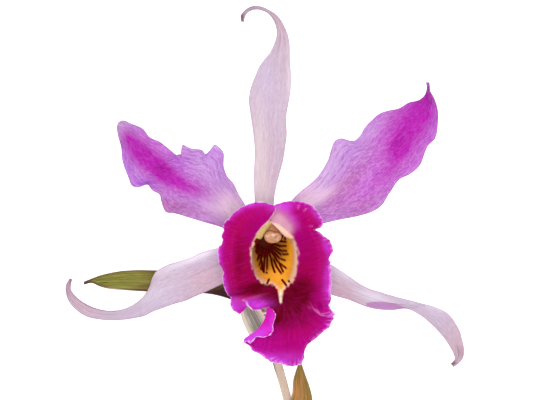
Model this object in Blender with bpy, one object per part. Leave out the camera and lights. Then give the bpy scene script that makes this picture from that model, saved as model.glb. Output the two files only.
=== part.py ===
# A cattleya bloom, picked with a piece of its stem and laid on its back.
# Lengths are in millimetres from the middle of the bloom; the solids are made in metres.
import math

import bpy
import numpy as np

MM = 0.001
BLOOM_HEIGHT = 28.0
EYE_HEIGHT = 700.0
EYE_OVER = (0.6, 16.1)
BOX_SHIFT = (0.1, -12.2)
TEPAL_THICK = 0.8
LIP_THICK = 0.7
BRACT_THICK = 0.8

# The two edges of each blade from its base to its tip, as they look from the eye.
DORSAL_LEFT = [
    (-2.6, 5.6), (-3.4, 10.0), (-3.8, 16.1), (-4.1, 25.5), (-3.8, 34.9), (-4.5, 42.4), (-5.6, 49.9),
    (-6.0, 53.6), (-4.9, 59.3), (-3.4, 63.0), (-1.9, 66.4), (0.0, 69.0), (1.9, 71.3), (3.4, 74.3),
    (4.5, 78.8), (4.1, 81.4), (3.0, 84.0), (1.5, 85.9), (-0.8, 87.2), (-2.6, 87.6), (-4.5, 87.4),
    (-6.0, 86.8), (-7.1, 85.6), (-7.7, 84.2), (-7.9, 82.9)]
DORSAL_RIGHT = [
    (2.6, 5.6), (3.2, 10.0), (3.4, 16.1), (4.5, 22.5), (5.6, 26.6), (6.8, 31.1), (7.5, 35.6),
    (8.1, 40.5), (7.9, 46.9), (9.0, 53.6), (9.6, 57.4), (9.8, 61.1), (9.4, 68.6), (9.0, 76.1),
    (8.3, 78.8), (7.1, 81.4), (5.6, 84.0), (3.8, 85.9), (1.5, 87.3), (-1.1, 88.5), (-3.4, 88.9),
    (-5.6, 88.5), (-7.5, 87.3), (-9.1, 85.2), (-9.0, 83.0)]
SEPAL_LEFT_UPPER = [
    (-5.4, -0.6), (-10.0, -0.4), (-17.6, -1.9), (-24.4, -3.8), (-28.1, -5.6), (-31.9, -6.8),
    (-35.6, -7.9), (-39.4, -9.8), (-40.5, -10.5), (-42.0, -12.8), (-43.1, -16.1), (-45.0, -19.5),
    (-48.8, -22.9), (-52.9, -24.8), (-57.4, -25.5), (-62.6, -24.8), (-67.1, -22.9), (-70.7, -20.3),
    (-72.8, -17.6), (-72.4, -13.5)]
SEPAL_LEFT_LOWER = [
    (-3.6, -5.6), (-8.0, -11.0), (-16.1, -15.4), (-22.5, -18.4), (-25.9, -19.9), (-29.6, -21.6),
    (-34.1, -22.9), (-38.3, -24.4), (-42.4, -25.9), (-45.4, -27.4), (-48.8, -28.1), (-52.9, -28.7),
    (-57.8, -28.9), (-62.6, -28.5), (-67.1, -27.4), (-70.7, -25.1), (-73.1, -22.5), (-74.6, -18.8),
    (-74.6, -15.8), (-73.3, -13.3)]
SEPAL_RIGHT_UPPER = [
    (5.4, -0.6), (12.0, -2.6), (19.0, -5.6), (25.5, -8.6), (31.9, -12.8), (35.6, -15.4),
    (39.4, -17.3), (43.1, -18.4), (50.6, -20.6), (58.1, -22.5), (65.6, -24.8), (68.3, -26.3),
    (70.1, -28.1), (71.6, -30.4), (72.8, -32.6), (73.9, -36.4), (74.6, -40.1), (74.3, -42.8),
    (73.1, -44.6), (71.6, -45.9), (70.6, -46.5)]
SEPAL_RIGHT_LOWER = [
    (3.6, -5.6), (9.0, -11.4), (17.0, -16.2), (25.1, -19.5), (31.9, -21.4), (35.6, -22.9),
    (38.6, -24.0), (41.3, -24.6), (46.9, -25.1), (53.6, -24.8), (58.1, -27.0), (61.9, -30.0),
    (64.5, -32.6), (67.1, -35.6), (69.4, -39.0), (70.9, -42.0), (71.2, -43.6), (70.4, -44.6),
    (69.7, -45.2)]
PETAL_LEFT_UPPER = [
    (-3.6, 4.4), (-5.6, 9.4), (-7.9, 15.0), (-9.8, 18.0), (-12.0, 22.5), (-14.3, 25.1),
    (-15.4, 28.5), (-15.9, 34.5), (-17.3, 36.0), (-18.8, 36.9), (-20.3, 35.1), (-22.5, 33.4),
    (-23.3, 34.5), (-28.1, 35.6), (-30.6, 36.9), (-31.0, 34.9), (-31.7, 31.9), (-35.6, 34.9),
    (-39.4, 37.9), (-43.1, 39.6), (-45.8, 42.8), (-49.9, 44.6), (-54.0, 45.8), (-55.1, 45.0),
    (-55.5, 43.5)]
PETAL_LEFT_LOWER = [
    (-5.6, 0.6), (-11.0, 3.4), (-16.1, 5.8), (-24.4, 8.3), (-28.1, 9.4), (-33.8, 11.1),
    (-37.1, 11.6), (-38.8, 15.4), (-39.4, 18.0), (-42.4, 19.9), (-43.9, 21.8), (-48.0, 20.8),
    (-49.5, 21.2), (-51.4, 25.1), (-53.4, 30.8), (-54.0, 36.0), (-55.1, 40.5), (-55.4, 42.3)]
PETAL_RIGHT_UPPER = [
    (3.6, 4.4), (6.6, 10.6), (10.5, 16.5), (13.1, 19.1), (18.8, 23.8), (20.6, 25.9), (22.5, 28.9),
    (24.0, 31.9), (24.8, 34.9), (26.6, 38.6), (28.1, 39.2), (31.9, 38.3), (33.4, 38.3),
    (35.6, 40.1), (37.5, 43.3), (40.1, 46.1), (43.1, 48.6), (45.8, 49.5), (50.6, 50.6),
    (53.6, 52.5), (58.1, 53.8), (59.6, 55.1), (60.5, 57.0), (60.7, 58.4), (60.4, 60.3)]
PETAL_RIGHT_LOWER = [
    (5.6, 0.6), (13.0, 4.6), (21.8, 7.3), (28.1, 8.8), (35.6, 10.3), (39.4, 11.4), (43.1, 13.5),
    (46.9, 19.1), (50.6, 24.0), (54.4, 25.9), (57.9, 28.9), (60.0, 34.1), (60.9, 36.2),
    (63.6, 39.0), (64.9, 45.4), (64.9, 49.1), (64.1, 52.5), (63.0, 55.1), (61.9, 57.0),
    (61.8, 58.4), (61.6, 60.2)]
BRACT_UPPER = [
    (-2.2, -24.6), (-6.6, -17.4), (-14.0, -12.6), (-24.0, -10.9), (-34.0, -10.4), (-40.5, -10.3),
    (-48.8, -10.2), (-54.4, -10.6), (-58.1, -11.2), (-61.9, -12.2), (-65.6, -13.7), (-67.9, -14.6)]
BRACT_LOWER = [
    (-1.6, -27.8), (-7.0, -24.0), (-13.0, -21.0), (-19.5, -19.2), (-28.0, -18.6), (-37.0, -18.4),
    (-43.9, -18.1), (-52.5, -17.6), (-60.0, -16.8), (-62.6, -15.9), (-64.9, -14.9), (-67.9, -15.5)]
DRY_SHEATH_UPPER = [
    (3.0, -38.4), (1.4, -31.4), (-1.6, -25.0), (-4.6, -21.6), (-8.0, -20.2)]
DRY_SHEATH_LOWER = [
    (2.8, -41.4), (-3.6, -37.4), (-7.4, -31.6), (-9.2, -25.6), (-8.9, -21.0)]
STEM_SHEATH_UPPER = [
    (6.4, -62.6), (10.0, -57.6), (10.8, -51.0), (11.8, -47.6), (12.7, -45.1)]
STEM_SHEATH_LOWER = [
    (17.6, -63.4), (17.8, -59.0), (16.4, -53.0), (14.8, -48.6), (13.6, -45.2)]

# How each blade runs up and down: pairs of the share of its length and a height.
DORSAL_RISE = [(0, -1.0), (0.10, 1.4), (0.25, 4.0), (0.42, 4.0), (0.58, 0.0), (0.72, -9.0), (0.84, -18.0),
               (0.94, -25.6), (1, -27.6)]
SEPAL_LEFT_RISE = [(0, -1.0), (0.12, 0.0), (0.3, -1.0), (0.42, -5.0), (0.55, -12.5), (0.68, -20.5),
                   (0.8, -25.8), (0.9, -26.8), (1, -25.4)]
SEPAL_RIGHT_RISE = [(0, -1.0), (0.15, 0.0), (0.3, -1.0), (0.45, -4.0), (0.6, -9.0), (0.75, -16.5),
                    (0.88, -23.9), (1, -27.4)]
PETAL_LEFT_RISE = [(0, 1.1), (0.15, 3.6), (0.35, 5.6), (0.55, 6.0), (0.75, 3.5), (1, -5.0)]
PETAL_RIGHT_RISE = [(0, 1.1), (0.15, 3.6), (0.35, 5.6), (0.55, 6.0), (0.75, 3.0), (1, -6.0)]
BRACT_RISE = [(0, -25.4), (0.1, -22.0), (0.3, -21.0), (0.6, -20.4), (0.85, -21.0), (1, -22.6)]
DRY_SHEATH_RISE = [(0, -23.7), (0.3, -20.8), (0.7, -18.4), (1, -17.6)]
STEM_SHEATH_RISE = [(0, -23.9), (0.4, -23.9), (1, -25.4)]

# The lip's flare, one row a spoke round the mouth of its tube: mouth, limb and edge points, with one
# more before the edge where the middle lobe bends away beside the gap.
LIP_SPOKES = [
    [(1.9, 9.2, 24.0), (2.2, 12.0, 27.5), (2.6, 14.6, 28.0)],
    [(-0.6, 7.4, 24.2), (-1.2, 11.6, 28.2), (-1.1, 15.8, 28.2)],
    [(-2.6, 5.2, 24.4), (-4.9, 9.8, 29.0), (-7.1, 14.3, 28.6)],
    [(-4.1, 2.7, 24.4), (-8.6, 6.8, 29.8), (-12.8, 10.9, 28.2)],
    [(-5.3, 0.0, 24.3), (-10.9, 3.0, 30.2), (-15.8, 6.4, 27.6)],
    [(-5.7, -2.6, 24.2), (-11.6, -0.4, 30.4), (-16.5, 1.9, 27.4)],
    [(-5.6, -5.6, 23.8), (-12.0, -4.1, 30.4), (-17.8, -3.0, 27.2)],
    [(-5.3, -8.6, 23.2), (-11.6, -9.0, 30.0), (-16.9, -8.6, 27.4)],
    [(-4.7, -11.0, 22.6), (-10.9, -13.9, 29.2), (-15.8, -14.3, 27.2)],
    [(-3.9, -12.9, 21.8), (-9.4, -17.6, 28.2), (-14.3, -19.1, 26.6)],
    [(-3.0, -14.3, 21.0), (-7.4, -19.6, 26.4), (-12.6, -24.2, 25.2)],
    [(-1.9, -15.4, 20.2), (-5.2, -20.4, 24.6), (-9.8, -27.0, 23.8)],
    [(-0.8, -16.1, 19.4), (-3.2, -20.4, 23.0), (-7.1, -24.2, 23.2)],
    [(0.4, -16.5, 18.6), (-1.0, -20.4, 21.6), (-3.4, -25.1, 21.6)],
    [(1.6, -16.9, 18.2), (1.4, -20.4, 20.6), (0.4, -24.4, 20.2)],
    [(2.8, -17.2, 18.0), (3.9, -21.0, 20.2), (4.8, -24.8, 20.4), (3.8, -26.6, 20.0)],
    [(3.8, -17.4, 18.0), (6.0, -22.8, 20.4), (6.2, -28.6, 20.8), (3.9, -30.4, 20.4)],
    [(4.9, -17.5, 18.0), (7.1, -24.2, 20.6), (6.5, -32.0, 20.8), (2.2, -33.6, 20.0)],
    [(5.8, -17.6, 18.0), (8.1, -25.0, 20.8), (6.7, -35.8, 20.2), (-3.8, -35.1, 18.6)],
    [(6.6, -17.6, 18.0), (9.0, -25.6, 21.0), (6.9, -37.6, 19.6), (-8.6, -36.9, 17.4)],
    [(7.2, -17.6, 18.1), (9.8, -26.2, 21.1), (7.1, -39.0, 19.0), (-5.6, -39.5, 15.6)],
    [(7.8, -17.6, 18.2), (10.6, -26.6, 21.2), (7.9, -40.4, 18.2), (0.4, -42.8, 14.4)],
    [(8.4, -17.5, 18.4), (11.3, -26.8, 21.2), (9.6, -41.2, 17.6), (6.4, -45.4, 13.8)],
    [(8.9, -17.4, 18.6), (12.0, -26.8, 21.3), (12.0, -40.6, 17.6), (12.0, -46.0, 13.8)],
    [(9.4, -17.3, 18.8), (12.7, -26.6, 21.5), (14.2, -37.6, 18.8), (14.6, -42.4, 15.4)],
    [(9.8, -17.1, 19.1), (13.5, -26.0, 21.8), (16.2, -33.4, 20.2), (19.0, -36.0, 17.6)],
    [(10.2, -16.8, 19.5), (14.3, -25.0, 22.2), (18.8, -29.8, 21.4), (24.0, -31.8, 19.6)],
    [(10.7, -16.2, 20.2), (15.2, -23.4, 22.6), (20.6, -26.2, 22.6), (26.4, -27.2, 21.4)],
    [(11.2, -15.2, 21.0), (16.4, -20.2, 23.4), (20.8, -21.6, 23.6), (24.9, -21.6, 23.0)],
    [(11.9, -13.2, 21.8), (18.2, -15.4, 26.6), (24.7, -15.4, 25.0)],
    [(12.5, -9.9, 22.6), (19.1, -9.4, 28.6), (24.5, -7.6, 26.4)],
    [(12.7, -5.6, 23.4), (19.4, -4.0, 29.4), (25.6, -3.0, 27.0)],
    [(12.4, -1.1, 24.0), (18.2, 0.9, 29.6), (22.3, 1.9, 27.4)],
    [(11.6, 2.6, 24.6), (16.2, 4.6, 29.8), (19.2, 5.2, 28.2)],
    [(10.3, 6.4, 25.2), (15.8, 9.0, 30.2), (21.6, 8.6, 28.6)],
    [(8.2, 9.4, 25.8), (12.4, 12.2, 30.2), (17.6, 13.8, 29.2)],
    [(5.2, 10.9, 26.4), (7.6, 13.4, 30.0), (9.4, 15.8, 29.8)],
    [(2.4, 10.4, 26.2), (2.6, 12.6, 29.4), (3.2, 14.9, 30.2)]]
LIP_FOOT = (0.0, -1.1, 3.2)
LIP_FOOT_RADIUS = 4.3
LIP_WALL = (0.75, -2.4, 12.5)
LIP_WALL_RADII = (6.5, 8.0)
LIP_THROAT = (3.2, -4.2)
LIP_STEPS = (3, 3, 3, 2, 3)
LIP_AROUND = 3
FRILL_HEIGHT = 1.1
FRILL_COUNT = 26
FRILL_SHARE = [(0, 0.6), (3, 1.0), (9, 1.0), (11, 0.4), (14, 0.1), (19, 0.1), (21, 0.8), (27, 1.0), (34, 1.0),
               (37, 0.4)]

# Round parts: rows of a place on the middle line and the radius there.
OVARY = [(0, 0, 2.4, 4.6), (0, 0, 0.9, 4.9), (0, 0, -1.6, 4.4), (0, -0.2, -3.4, 2.4), (0, -1.0, -7.0, 2.3),
         (0, -3.0, -11.5, 2.1), (0, -7.4, -16.4, 1.8), (-0.2, -13.0, -20.4, 1.6), (-0.4, -18.0, -23.2, 1.5),
         (-0.2, -23.0, -25.4, 1.7), (0.2, -25.6, -26.0, 1.8)]
PEDUNCLE = [(0.4, -26.6, -26.1, 1.7), (1.4, -31.0, -26.2, 1.8), (2.6, -38.0, -26.2, 1.8),
            (4.0, -43.4, -26.2, 1.8), (4.8, -46.4, -26.1, 1.9), (5.6, -49.4, -26.2, 1.8),
            (7.4, -57.0, -26.2, 1.8), (9.0, -64.0, -26.2, 1.8)]
COLUMN = [(0, -0.4, 2.9, 2.3), (0.2, 0.0, 7.0, 2.3), (0.9, 1.2, 12.0, 2.4), (1.8, 2.7, 17.0, 2.6),
          (2.4, 3.6, 20.6, 2.9), (2.6, 3.9, 21.8, 2.5)]
CAP = [(2.7, 4.1, 22.4, 1.9), (2.8, 4.15, 23.0, 2.7), (2.9, 4.2, 24.2, 2.8), (3.0, 4.3, 25.4, 2.0),
       (3.05, 4.35, 26.0, 0.9)]
ROUND_SIDES = 16

SLOTS = {
    "petal": ((0.72, 0.38, 0.78), 0.5), "sepal": ((0.78, 0.62, 0.74), 0.5), "lip": ((0.46, 0.01, 0.25), 0.45),
    "column": ((0.80, 0.55, 0.35), 0.4), "pedicel": ((0.36, 0.40, 0.16), 0.5),
    "stem": ((0.55, 0.46, 0.34), 0.6), "bract": ((0.22, 0.19, 0.05), 0.6)}


def clear_scene():
    for old in list(bpy.data.objects):
        bpy.data.objects.remove(old, do_unlink=True)


def material(slot):
    """The plain surface of one slot, made once."""
    if slot in bpy.data.materials:
        return bpy.data.materials[slot]
    colour, rough = SLOTS[slot]
    made = bpy.data.materials.new(slot)
    made.use_nodes = True
    shader = made.node_tree.nodes["Principled BSDF"]
    shader.inputs["Base Color"].default_value = (*colour, 1.0)
    shader.inputs["Roughness"].default_value = rough
    made.diffuse_color = (*colour, 1.0)
    return made


def curve(knots, values, places):
    """A smooth line through the values at the knots, read off at the places."""
    knots = np.asarray(knots, float)
    values = np.asarray(values, float)
    slope = np.gradient(values, knots, axis=0)
    cell = np.clip(np.searchsorted(knots, places, side="right") - 1, 0, len(knots) - 2)
    gap = knots[cell + 1] - knots[cell]
    u = (np.asarray(places) - knots[cell]) / gap
    if values.ndim > 1:
        u, gap = u[:, None], gap[:, None]
    start = (2 * u ** 3 - 3 * u ** 2 + 1) * values[cell]
    leave = (u ** 3 - 2 * u ** 2 + u) * gap * slope[cell]
    end = (3 * u ** 2 - 2 * u ** 3) * values[cell + 1]
    enter = (u ** 3 - u ** 2) * gap * slope[cell + 1]
    return start + leave + end + enter


def profile(pairs, places):
    """A height read off a short list of (share of the length, height)."""
    pairs = np.array(pairs, float)
    return curve(pairs[:, 0], pairs[:, 1], places)


def edge(points, rows):
    """An edge sampled at rows + 1 places; each given point keeps the row nearest to it."""
    points = np.array(points, float)
    steps = np.linalg.norm(np.diff(points, axis=0), axis=1)
    share = np.concatenate([[0.0], np.cumsum(steps)]) / steps.sum()
    row, first = np.unique(np.round(share * rows).astype(int), return_index=True)
    places = np.interp(np.arange(rows + 1), row, share[first])
    return curve(share, points, places)


def smoothed(points, passes):
    """The edge with the teeth and notches of its middle part evened out."""
    even = points.copy()
    for _ in range(passes):
        even[1:-1] = (even[:-2] + 2 * even[1:-1] + even[2:]) / 4
    share = np.linspace(0, 1, len(points))
    keep = np.clip(np.minimum(share - 0.1, 0.82 - share) / 0.1, 0, 1)[:, None]
    return points + (even - points) * keep


def spread(grid):
    """Move the points out or in by their height, so that the eye still sees them in the drawn place."""
    scale = (EYE_HEIGHT - grid[..., 2]) / EYE_HEIGHT
    for axis in (0, 1):
        grid[..., axis] = EYE_OVER[axis] + (grid[..., axis] - EYE_OVER[axis]) * scale
    return grid


def blade(left, right, rise, rows, across, roll=((0, 0), (1, 0)), cup=((0, 0), (1, 0)), ruffle=(0, 1, 0),
          even=0.0):
    """The middle surface of a sepal, petal or bract between its two edges."""
    a, b = edge(left, rows), edge(right, rows)
    t = np.linspace(0, 1, rows + 1)
    s = np.linspace(-1, 1, across + 1)
    mix = ((s + 1) / 2)[None, :, None]
    passes = int(even * rows * rows)
    even_a, even_b = smoothed(a, passes), smoothed(b, passes)
    flat = even_a[:, None, :] * (1 - mix) + even_b[:, None, :] * mix
    flat += (a - even_a)[:, None, :] * (1 - mix) ** 4 + (b - even_b)[:, None, :] * mix ** 4
    tilt = profile(roll, t)[:, None] * s[None, :]
    dish = profile(cup, t)[:, None] * (s[None, :] ** 2 - 0.33)
    height, count, phase = ruffle
    wave = np.sin(2 * math.pi * count * t[:, None] + phase + 1.1 * s[None, :])
    fade = np.sin(math.pi * np.clip(t * 1.02, 0, 1))[:, None] ** 0.7
    z = profile(rise, t)[:, None] + tilt + dish + height * wave * fade * np.abs(s[None, :]) ** 2.2
    return spread(np.concatenate([flat, z[..., None]], axis=2))


def normals(grid, closed=False):
    """The direction across the sheet at each point of the grid."""
    down = np.gradient(grid, axis=0)
    if closed:
        wrap = np.concatenate([grid[:, -2:-1], grid, grid[:, 1:2]], axis=1)
        side = (wrap[:, 2:] - wrap[:, :-2]) / 2
    else:
        side = np.gradient(grid, axis=1)
    cross = np.cross(down, side)
    return cross / np.maximum(np.linalg.norm(cross, axis=2, keepdims=True), 1e-9)


def sheet_solid(name, slot, grid, thick):
    """A thin solid on both sides of the grid, with the same triangles on its two faces."""
    rows, cols = grid.shape[:2]
    lean = normals(grid) * thick / 2
    points = np.concatenate([(grid + lean).reshape(-1, 3), (grid - lean).reshape(-1, 3)])
    under = rows * cols
    faces = []
    for i in range(rows - 1):
        for j in range(cols - 1):
            a, b = i * cols + j, i * cols + j + 1
            c, d = a + cols, b + cols
            cut = [(a, c, d), (a, d, b)] if (i + j) % 2 else [(a, c, b), (b, c, d)]
            faces += cut
            faces += [tuple(under + v for v in reversed(tri)) for tri in cut]
    rim = [j for j in range(cols)] + [i * cols + cols - 1 for i in range(1, rows)]
    rim += [(rows - 1) * cols + j for j in range(cols - 2, -1, -1)] + [i * cols for i in range(rows - 2, 0, -1)]
    for k, a in enumerate(rim):
        b = rim[(k + 1) % len(rim)]
        faces += [(a, b, under + b), (a, under + b, under + a)]
    return add_object(name, slot, points, faces)


def tube_rings(rows, step, sides, ribs=0.0, rib_count=6):
    """Rings round a bent line whose thickness changes."""
    rows = spread(np.array(rows, float))
    length = np.concatenate([[0.0], np.cumsum(np.linalg.norm(np.diff(rows[:, :3], axis=0), axis=1))])
    places = np.linspace(0, length[-1], max(2, int(round(length[-1] / step))) + 1)
    places = np.unique(np.concatenate([places, length]))
    line = curve(length, rows, places)
    along = np.gradient(line[:, :3], axis=0)
    along /= np.linalg.norm(along, axis=1, keepdims=True)
    out = np.cross(along, np.array([1.0, 0.0, 0.0]))
    out /= np.linalg.norm(out, axis=1, keepdims=True)
    other = np.cross(along, out)
    turn = np.arange(sides) * 2 * math.pi / sides
    radius = line[:, 3:4] * (1 + ribs * np.cos(rib_count * turn)[None, :])
    ring = out[:, None, :] * np.cos(turn)[None, :, None] + other[:, None, :] * np.sin(turn)[None, :, None]
    return line[:, None, :3] + ring * radius[..., None]


def ring_solid(name, slot, rings):
    """A closed solid through rings of points, capped flat at both ends."""
    count, sides = rings.shape[:2]
    points = rings.reshape(-1, 3)
    faces = []
    for i in range(count - 1):
        for j in range(sides):
            a, b = i * sides + j, i * sides + (j + 1) % sides
            faces += [(a, a + sides, b), (b, a + sides, b + sides)]
    faces.append(tuple(range(sides)))
    faces.append(tuple(reversed(range((count - 1) * sides, count * sides))))
    return add_object(name, slot, points, faces)


def add_object(name, slot, points, faces):
    """Make the named object in metres, standing on the surface, facing outwards."""
    place = (np.asarray(points) + np.array([BOX_SHIFT[0], BOX_SHIFT[1], BLOOM_HEIGHT])) * MM
    if volume(place, faces) < 0:
        faces = [tuple(reversed(face)) for face in faces]
    mesh = bpy.data.meshes.new(name)
    mesh.from_pydata(place.tolist(), [], faces)
    mesh.validate()
    mesh.materials.append(material(slot))
    made = bpy.data.objects.new(name, mesh)
    bpy.context.scene.collection.objects.link(made)
    return made


def volume(points, faces):
    """Six times the signed volume inside the faces."""
    total = 0.0
    for face in faces:
        for k in range(1, len(face) - 1):
            a, b, c = points[face[0]], points[face[k]], points[face[k + 1]]
            total += float(np.dot(a, np.cross(b, c)))
    return total


def spoke_points(row, turn):
    """All six points of a spoke: two on the tube at this turn, then its own three or four."""
    foot = [LIP_FOOT[0] + LIP_FOOT_RADIUS * math.cos(turn), LIP_FOOT[1] + LIP_FOOT_RADIUS * math.sin(turn),
            LIP_FOOT[2]]
    wall = [LIP_WALL[0] + LIP_WALL_RADII[0] * math.cos(turn), LIP_WALL[1] + LIP_WALL_RADII[1] * math.sin(turn),
            LIP_WALL[2] + 1.2 * math.sin(turn)]
    own = [list(point) for point in row]
    if len(own) == 3:
        limb, rim = np.array(row[1]), np.array(row[2])
        own.insert(2, list((limb + rim) / 2 + np.array([0.0, 0.0, 0.5])))
    return [foot, wall] + own


def lip_spokes():
    """The spokes in full, each turned half by its own place and half by its mouth point."""
    count = len(LIP_SPOKES)
    spokes = []
    for k, row in enumerate(LIP_SPOKES):
        evenly = math.pi / 2 + 0.12 + (2 * math.pi - 0.24) * k / (count - 1)
        mouth = math.atan2(row[0][1] - LIP_THROAT[1], row[0][0] - LIP_THROAT[0])
        mouth += 2 * math.pi * round((evenly - mouth) / (2 * math.pi))
        spokes.append(spoke_points(row, (evenly + mouth) / 2))
    return np.array(spokes)


def lip_grid():
    """The lip as one sheet: spokes round the tube's mouth, from its foot out to the frilled edge."""
    spokes = lip_spokes()
    around = np.linspace(0, len(spokes) - 1, (len(spokes) - 1) * LIP_AROUND + 1)
    rings = []
    for ring in range(spokes.shape[1]):
        rings.append(curve(np.arange(len(spokes)), spokes[:, ring], around))
    rings = np.array(rings)
    outward = np.concatenate([np.linspace(k, k + 1, n, endpoint=False) for k, n in enumerate(LIP_STEPS)])
    outward = np.append(outward, len(LIP_STEPS))
    grid = np.array([curve(np.arange(len(rings)), rings[:, k], outward) for k in range(rings.shape[1])])
    rim = np.concatenate([[0.0], np.cumsum(np.linalg.norm(np.diff(grid[:, -1], axis=0), axis=1))])
    near_edge = np.clip((outward - 3.2) / 1.8, 0, 1)[None, :] ** 1.6
    wave = (np.sin(2 * math.pi * FRILL_COUNT * rim / rim[-1]) * profile(FRILL_SHARE, around))[:, None]
    grid[..., 2] += FRILL_HEIGHT * near_edge * wave
    return spread(grid)


def build():
    clear_scene()
    sheet_solid("dorsal_sepal", "sepal", blade(
        DORSAL_LEFT, DORSAL_RIGHT, DORSAL_RISE, 34, 6,
        cup=((0, 0.4), (0.3, -1.6), (0.6, -1.4), (0.8, 0.6), (1, 0.0))), TEPAL_THICK)
    sheet_solid("sepal_left", "sepal", blade(
        SEPAL_LEFT_UPPER, SEPAL_LEFT_LOWER, SEPAL_LEFT_RISE, 34, 6,
        roll=((0, 0), (0.3, 0.6), (0.45, 3.2), (0.6, 2.6), (0.75, 1.4), (1, 0.4)),
        cup=((0, 0.2), (0.3, -1.6), (0.5, -2.0), (0.7, -0.4), (1, 0.0))), TEPAL_THICK)
    sheet_solid("sepal_right", "sepal", blade(
        SEPAL_RIGHT_UPPER, SEPAL_RIGHT_LOWER, SEPAL_RIGHT_RISE, 34, 6,
        roll=((0, 0), (0.25, 0.3), (0.42, 2.4), (0.55, 3.4), (0.7, 2.0), (1, 0.2)),
        cup=((0, 0.2), (0.3, -1.2), (0.5, 1.0), (0.7, -0.6), (1, 0.0))), TEPAL_THICK)
    sheet_solid("petal_left", "petal", blade(
        PETAL_LEFT_UPPER, PETAL_LEFT_LOWER, PETAL_LEFT_RISE, 36, 10,
        cup=((0, 0.4), (0.3, -1.0), (0.7, -2.0), (1, -0.6)), ruffle=(2.2, 4.2, 0.6), even=0.008), TEPAL_THICK)
    sheet_solid("petal_right", "petal", blade(
        PETAL_RIGHT_UPPER, PETAL_RIGHT_LOWER, PETAL_RIGHT_RISE, 38, 10,
        cup=((0, 0.4), (0.3, -1.0), (0.7, -2.0), (1, -0.4)), ruffle=(2.2, 4.4, 2.0), even=0.008), TEPAL_THICK)
    sheet_solid("lip", "lip", lip_grid(), LIP_THICK)
    ring_solid("column", "column", tube_rings(COLUMN, 2.4, ROUND_SIDES))
    ring_solid("anther_cap", "column", tube_rings(CAP, 1.0, ROUND_SIDES))
    ring_solid("ovary", "pedicel", tube_rings(OVARY, 2.4, ROUND_SIDES, 0.03))
    ring_solid("peduncle", "stem", tube_rings(PEDUNCLE, 3.0, ROUND_SIDES))
    sheet_solid("floral_bract", "bract", blade(
        BRACT_UPPER, BRACT_LOWER, BRACT_RISE, 24, 4,
        cup=((0, 1.4), (0.3, 1.2), (0.8, 1.0), (1, 0.0))), BRACT_THICK)
    sheet_solid("dry_sheath", "bract", blade(
        DRY_SHEATH_UPPER, DRY_SHEATH_LOWER, DRY_SHEATH_RISE, 10, 4,
        cup=((0, 0.6), (0.5, -1.0), (1, 0.0))), BRACT_THICK)
    sheet_solid("stem_sheath", "bract", blade(
        STEM_SHEATH_UPPER, STEM_SHEATH_LOWER, STEM_SHEATH_RISE, 10, 4,
        roll=((0, -0.8), (0.4, -0.3), (1, 0.0)), cup=((0, -0.6), (0.5, -1.0), (1, 0.0))), BRACT_THICK)


build()
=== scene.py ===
# The looks of a picked cattleya bloom that lies on its back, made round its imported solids.
# Lengths are in millimetres from the middle of the bloom, as in the part's source; meshes are in metres.
import math

import bpy
import numpy as np
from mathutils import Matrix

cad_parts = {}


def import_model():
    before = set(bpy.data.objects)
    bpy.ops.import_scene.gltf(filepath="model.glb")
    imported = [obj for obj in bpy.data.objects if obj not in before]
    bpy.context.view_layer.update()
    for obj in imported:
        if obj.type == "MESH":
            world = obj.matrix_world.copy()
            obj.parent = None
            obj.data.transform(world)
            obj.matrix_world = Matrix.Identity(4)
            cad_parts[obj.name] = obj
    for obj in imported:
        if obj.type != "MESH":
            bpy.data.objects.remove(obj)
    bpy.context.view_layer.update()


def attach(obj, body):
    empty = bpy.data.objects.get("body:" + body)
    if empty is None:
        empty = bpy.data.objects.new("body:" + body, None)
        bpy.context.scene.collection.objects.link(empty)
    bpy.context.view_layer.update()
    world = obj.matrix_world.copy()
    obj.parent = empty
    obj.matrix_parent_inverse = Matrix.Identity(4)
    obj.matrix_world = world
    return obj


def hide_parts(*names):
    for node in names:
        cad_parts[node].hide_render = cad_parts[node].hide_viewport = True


MM = 0.001
BLOOM_HEIGHT = 28.0
EYE_HEIGHT = 700.0
EYE_OVER = (0.6, 16.1)
BOX_SHIFT = (0.1, -12.2)
PIXEL = 0.375
CENTRE_PIXEL = (265.0, 243.0)
PICTURE_SIZE = (533, 400)
SENSOR = 36.0
FAR = 1e9
TINY = 1e-9

# The stage: each lamp's name, place, size and power, in metres and watts.
LAMPS = [("key_lamp", (-0.5, 0.55, 1.0), 0.5, 5.0), ("top_lamp", (0.05, -0.05, 1.25), 0.45, 8.0),
         ("fill_lamp", (0.8, -0.3, 0.7), 0.6, 2.0)]
LAMP_TARGET = (0.0, 0.0, 0.02)
SKY_STRENGTH = 0.58
FLOOR_HALF = 3.0
FLOOR_DROP = 0.0003
FLOOR_GLOW = 0.45

# The two edges of each blade from its base to its tip, as they look from the eye.
DORSAL_LEFT = [
    (-2.6, 5.6), (-3.4, 10), (-3.8, 16.1), (-4.1, 25.5), (-3.8, 34.9), (-4.5, 42.4), (-5.6, 49.9),
    (-6, 53.6), (-4.9, 59.3), (-3.4, 63), (-1.9, 66.4), (0, 69), (1.9, 71.3), (3.4, 74.3), (4.5, 78.8),
    (4.1, 81.4), (3, 84), (1.5, 85.9), (-0.8, 87.2), (-2.6, 87.6), (-4.5, 87.4), (-6, 86.8), (-7.1, 85.6),
    (-7.7, 84.2), (-7.9, 82.9)]
DORSAL_RIGHT = [
    (2.6, 5.6), (3.2, 10), (3.4, 16.1), (4.5, 22.5), (5.6, 26.6), (6.8, 31.1), (7.5, 35.6), (8.1, 40.5),
    (7.9, 46.9), (9, 53.6), (9.6, 57.4), (9.8, 61.1), (9.4, 68.6), (9, 76.1), (8.3, 78.8), (7.1, 81.4),
    (5.6, 84), (3.8, 85.9), (1.5, 87.3), (-1.1, 88.5), (-3.4, 88.9), (-5.6, 88.5), (-7.5, 87.3),
    (-9.1, 85.2), (-9, 83)]
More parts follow.
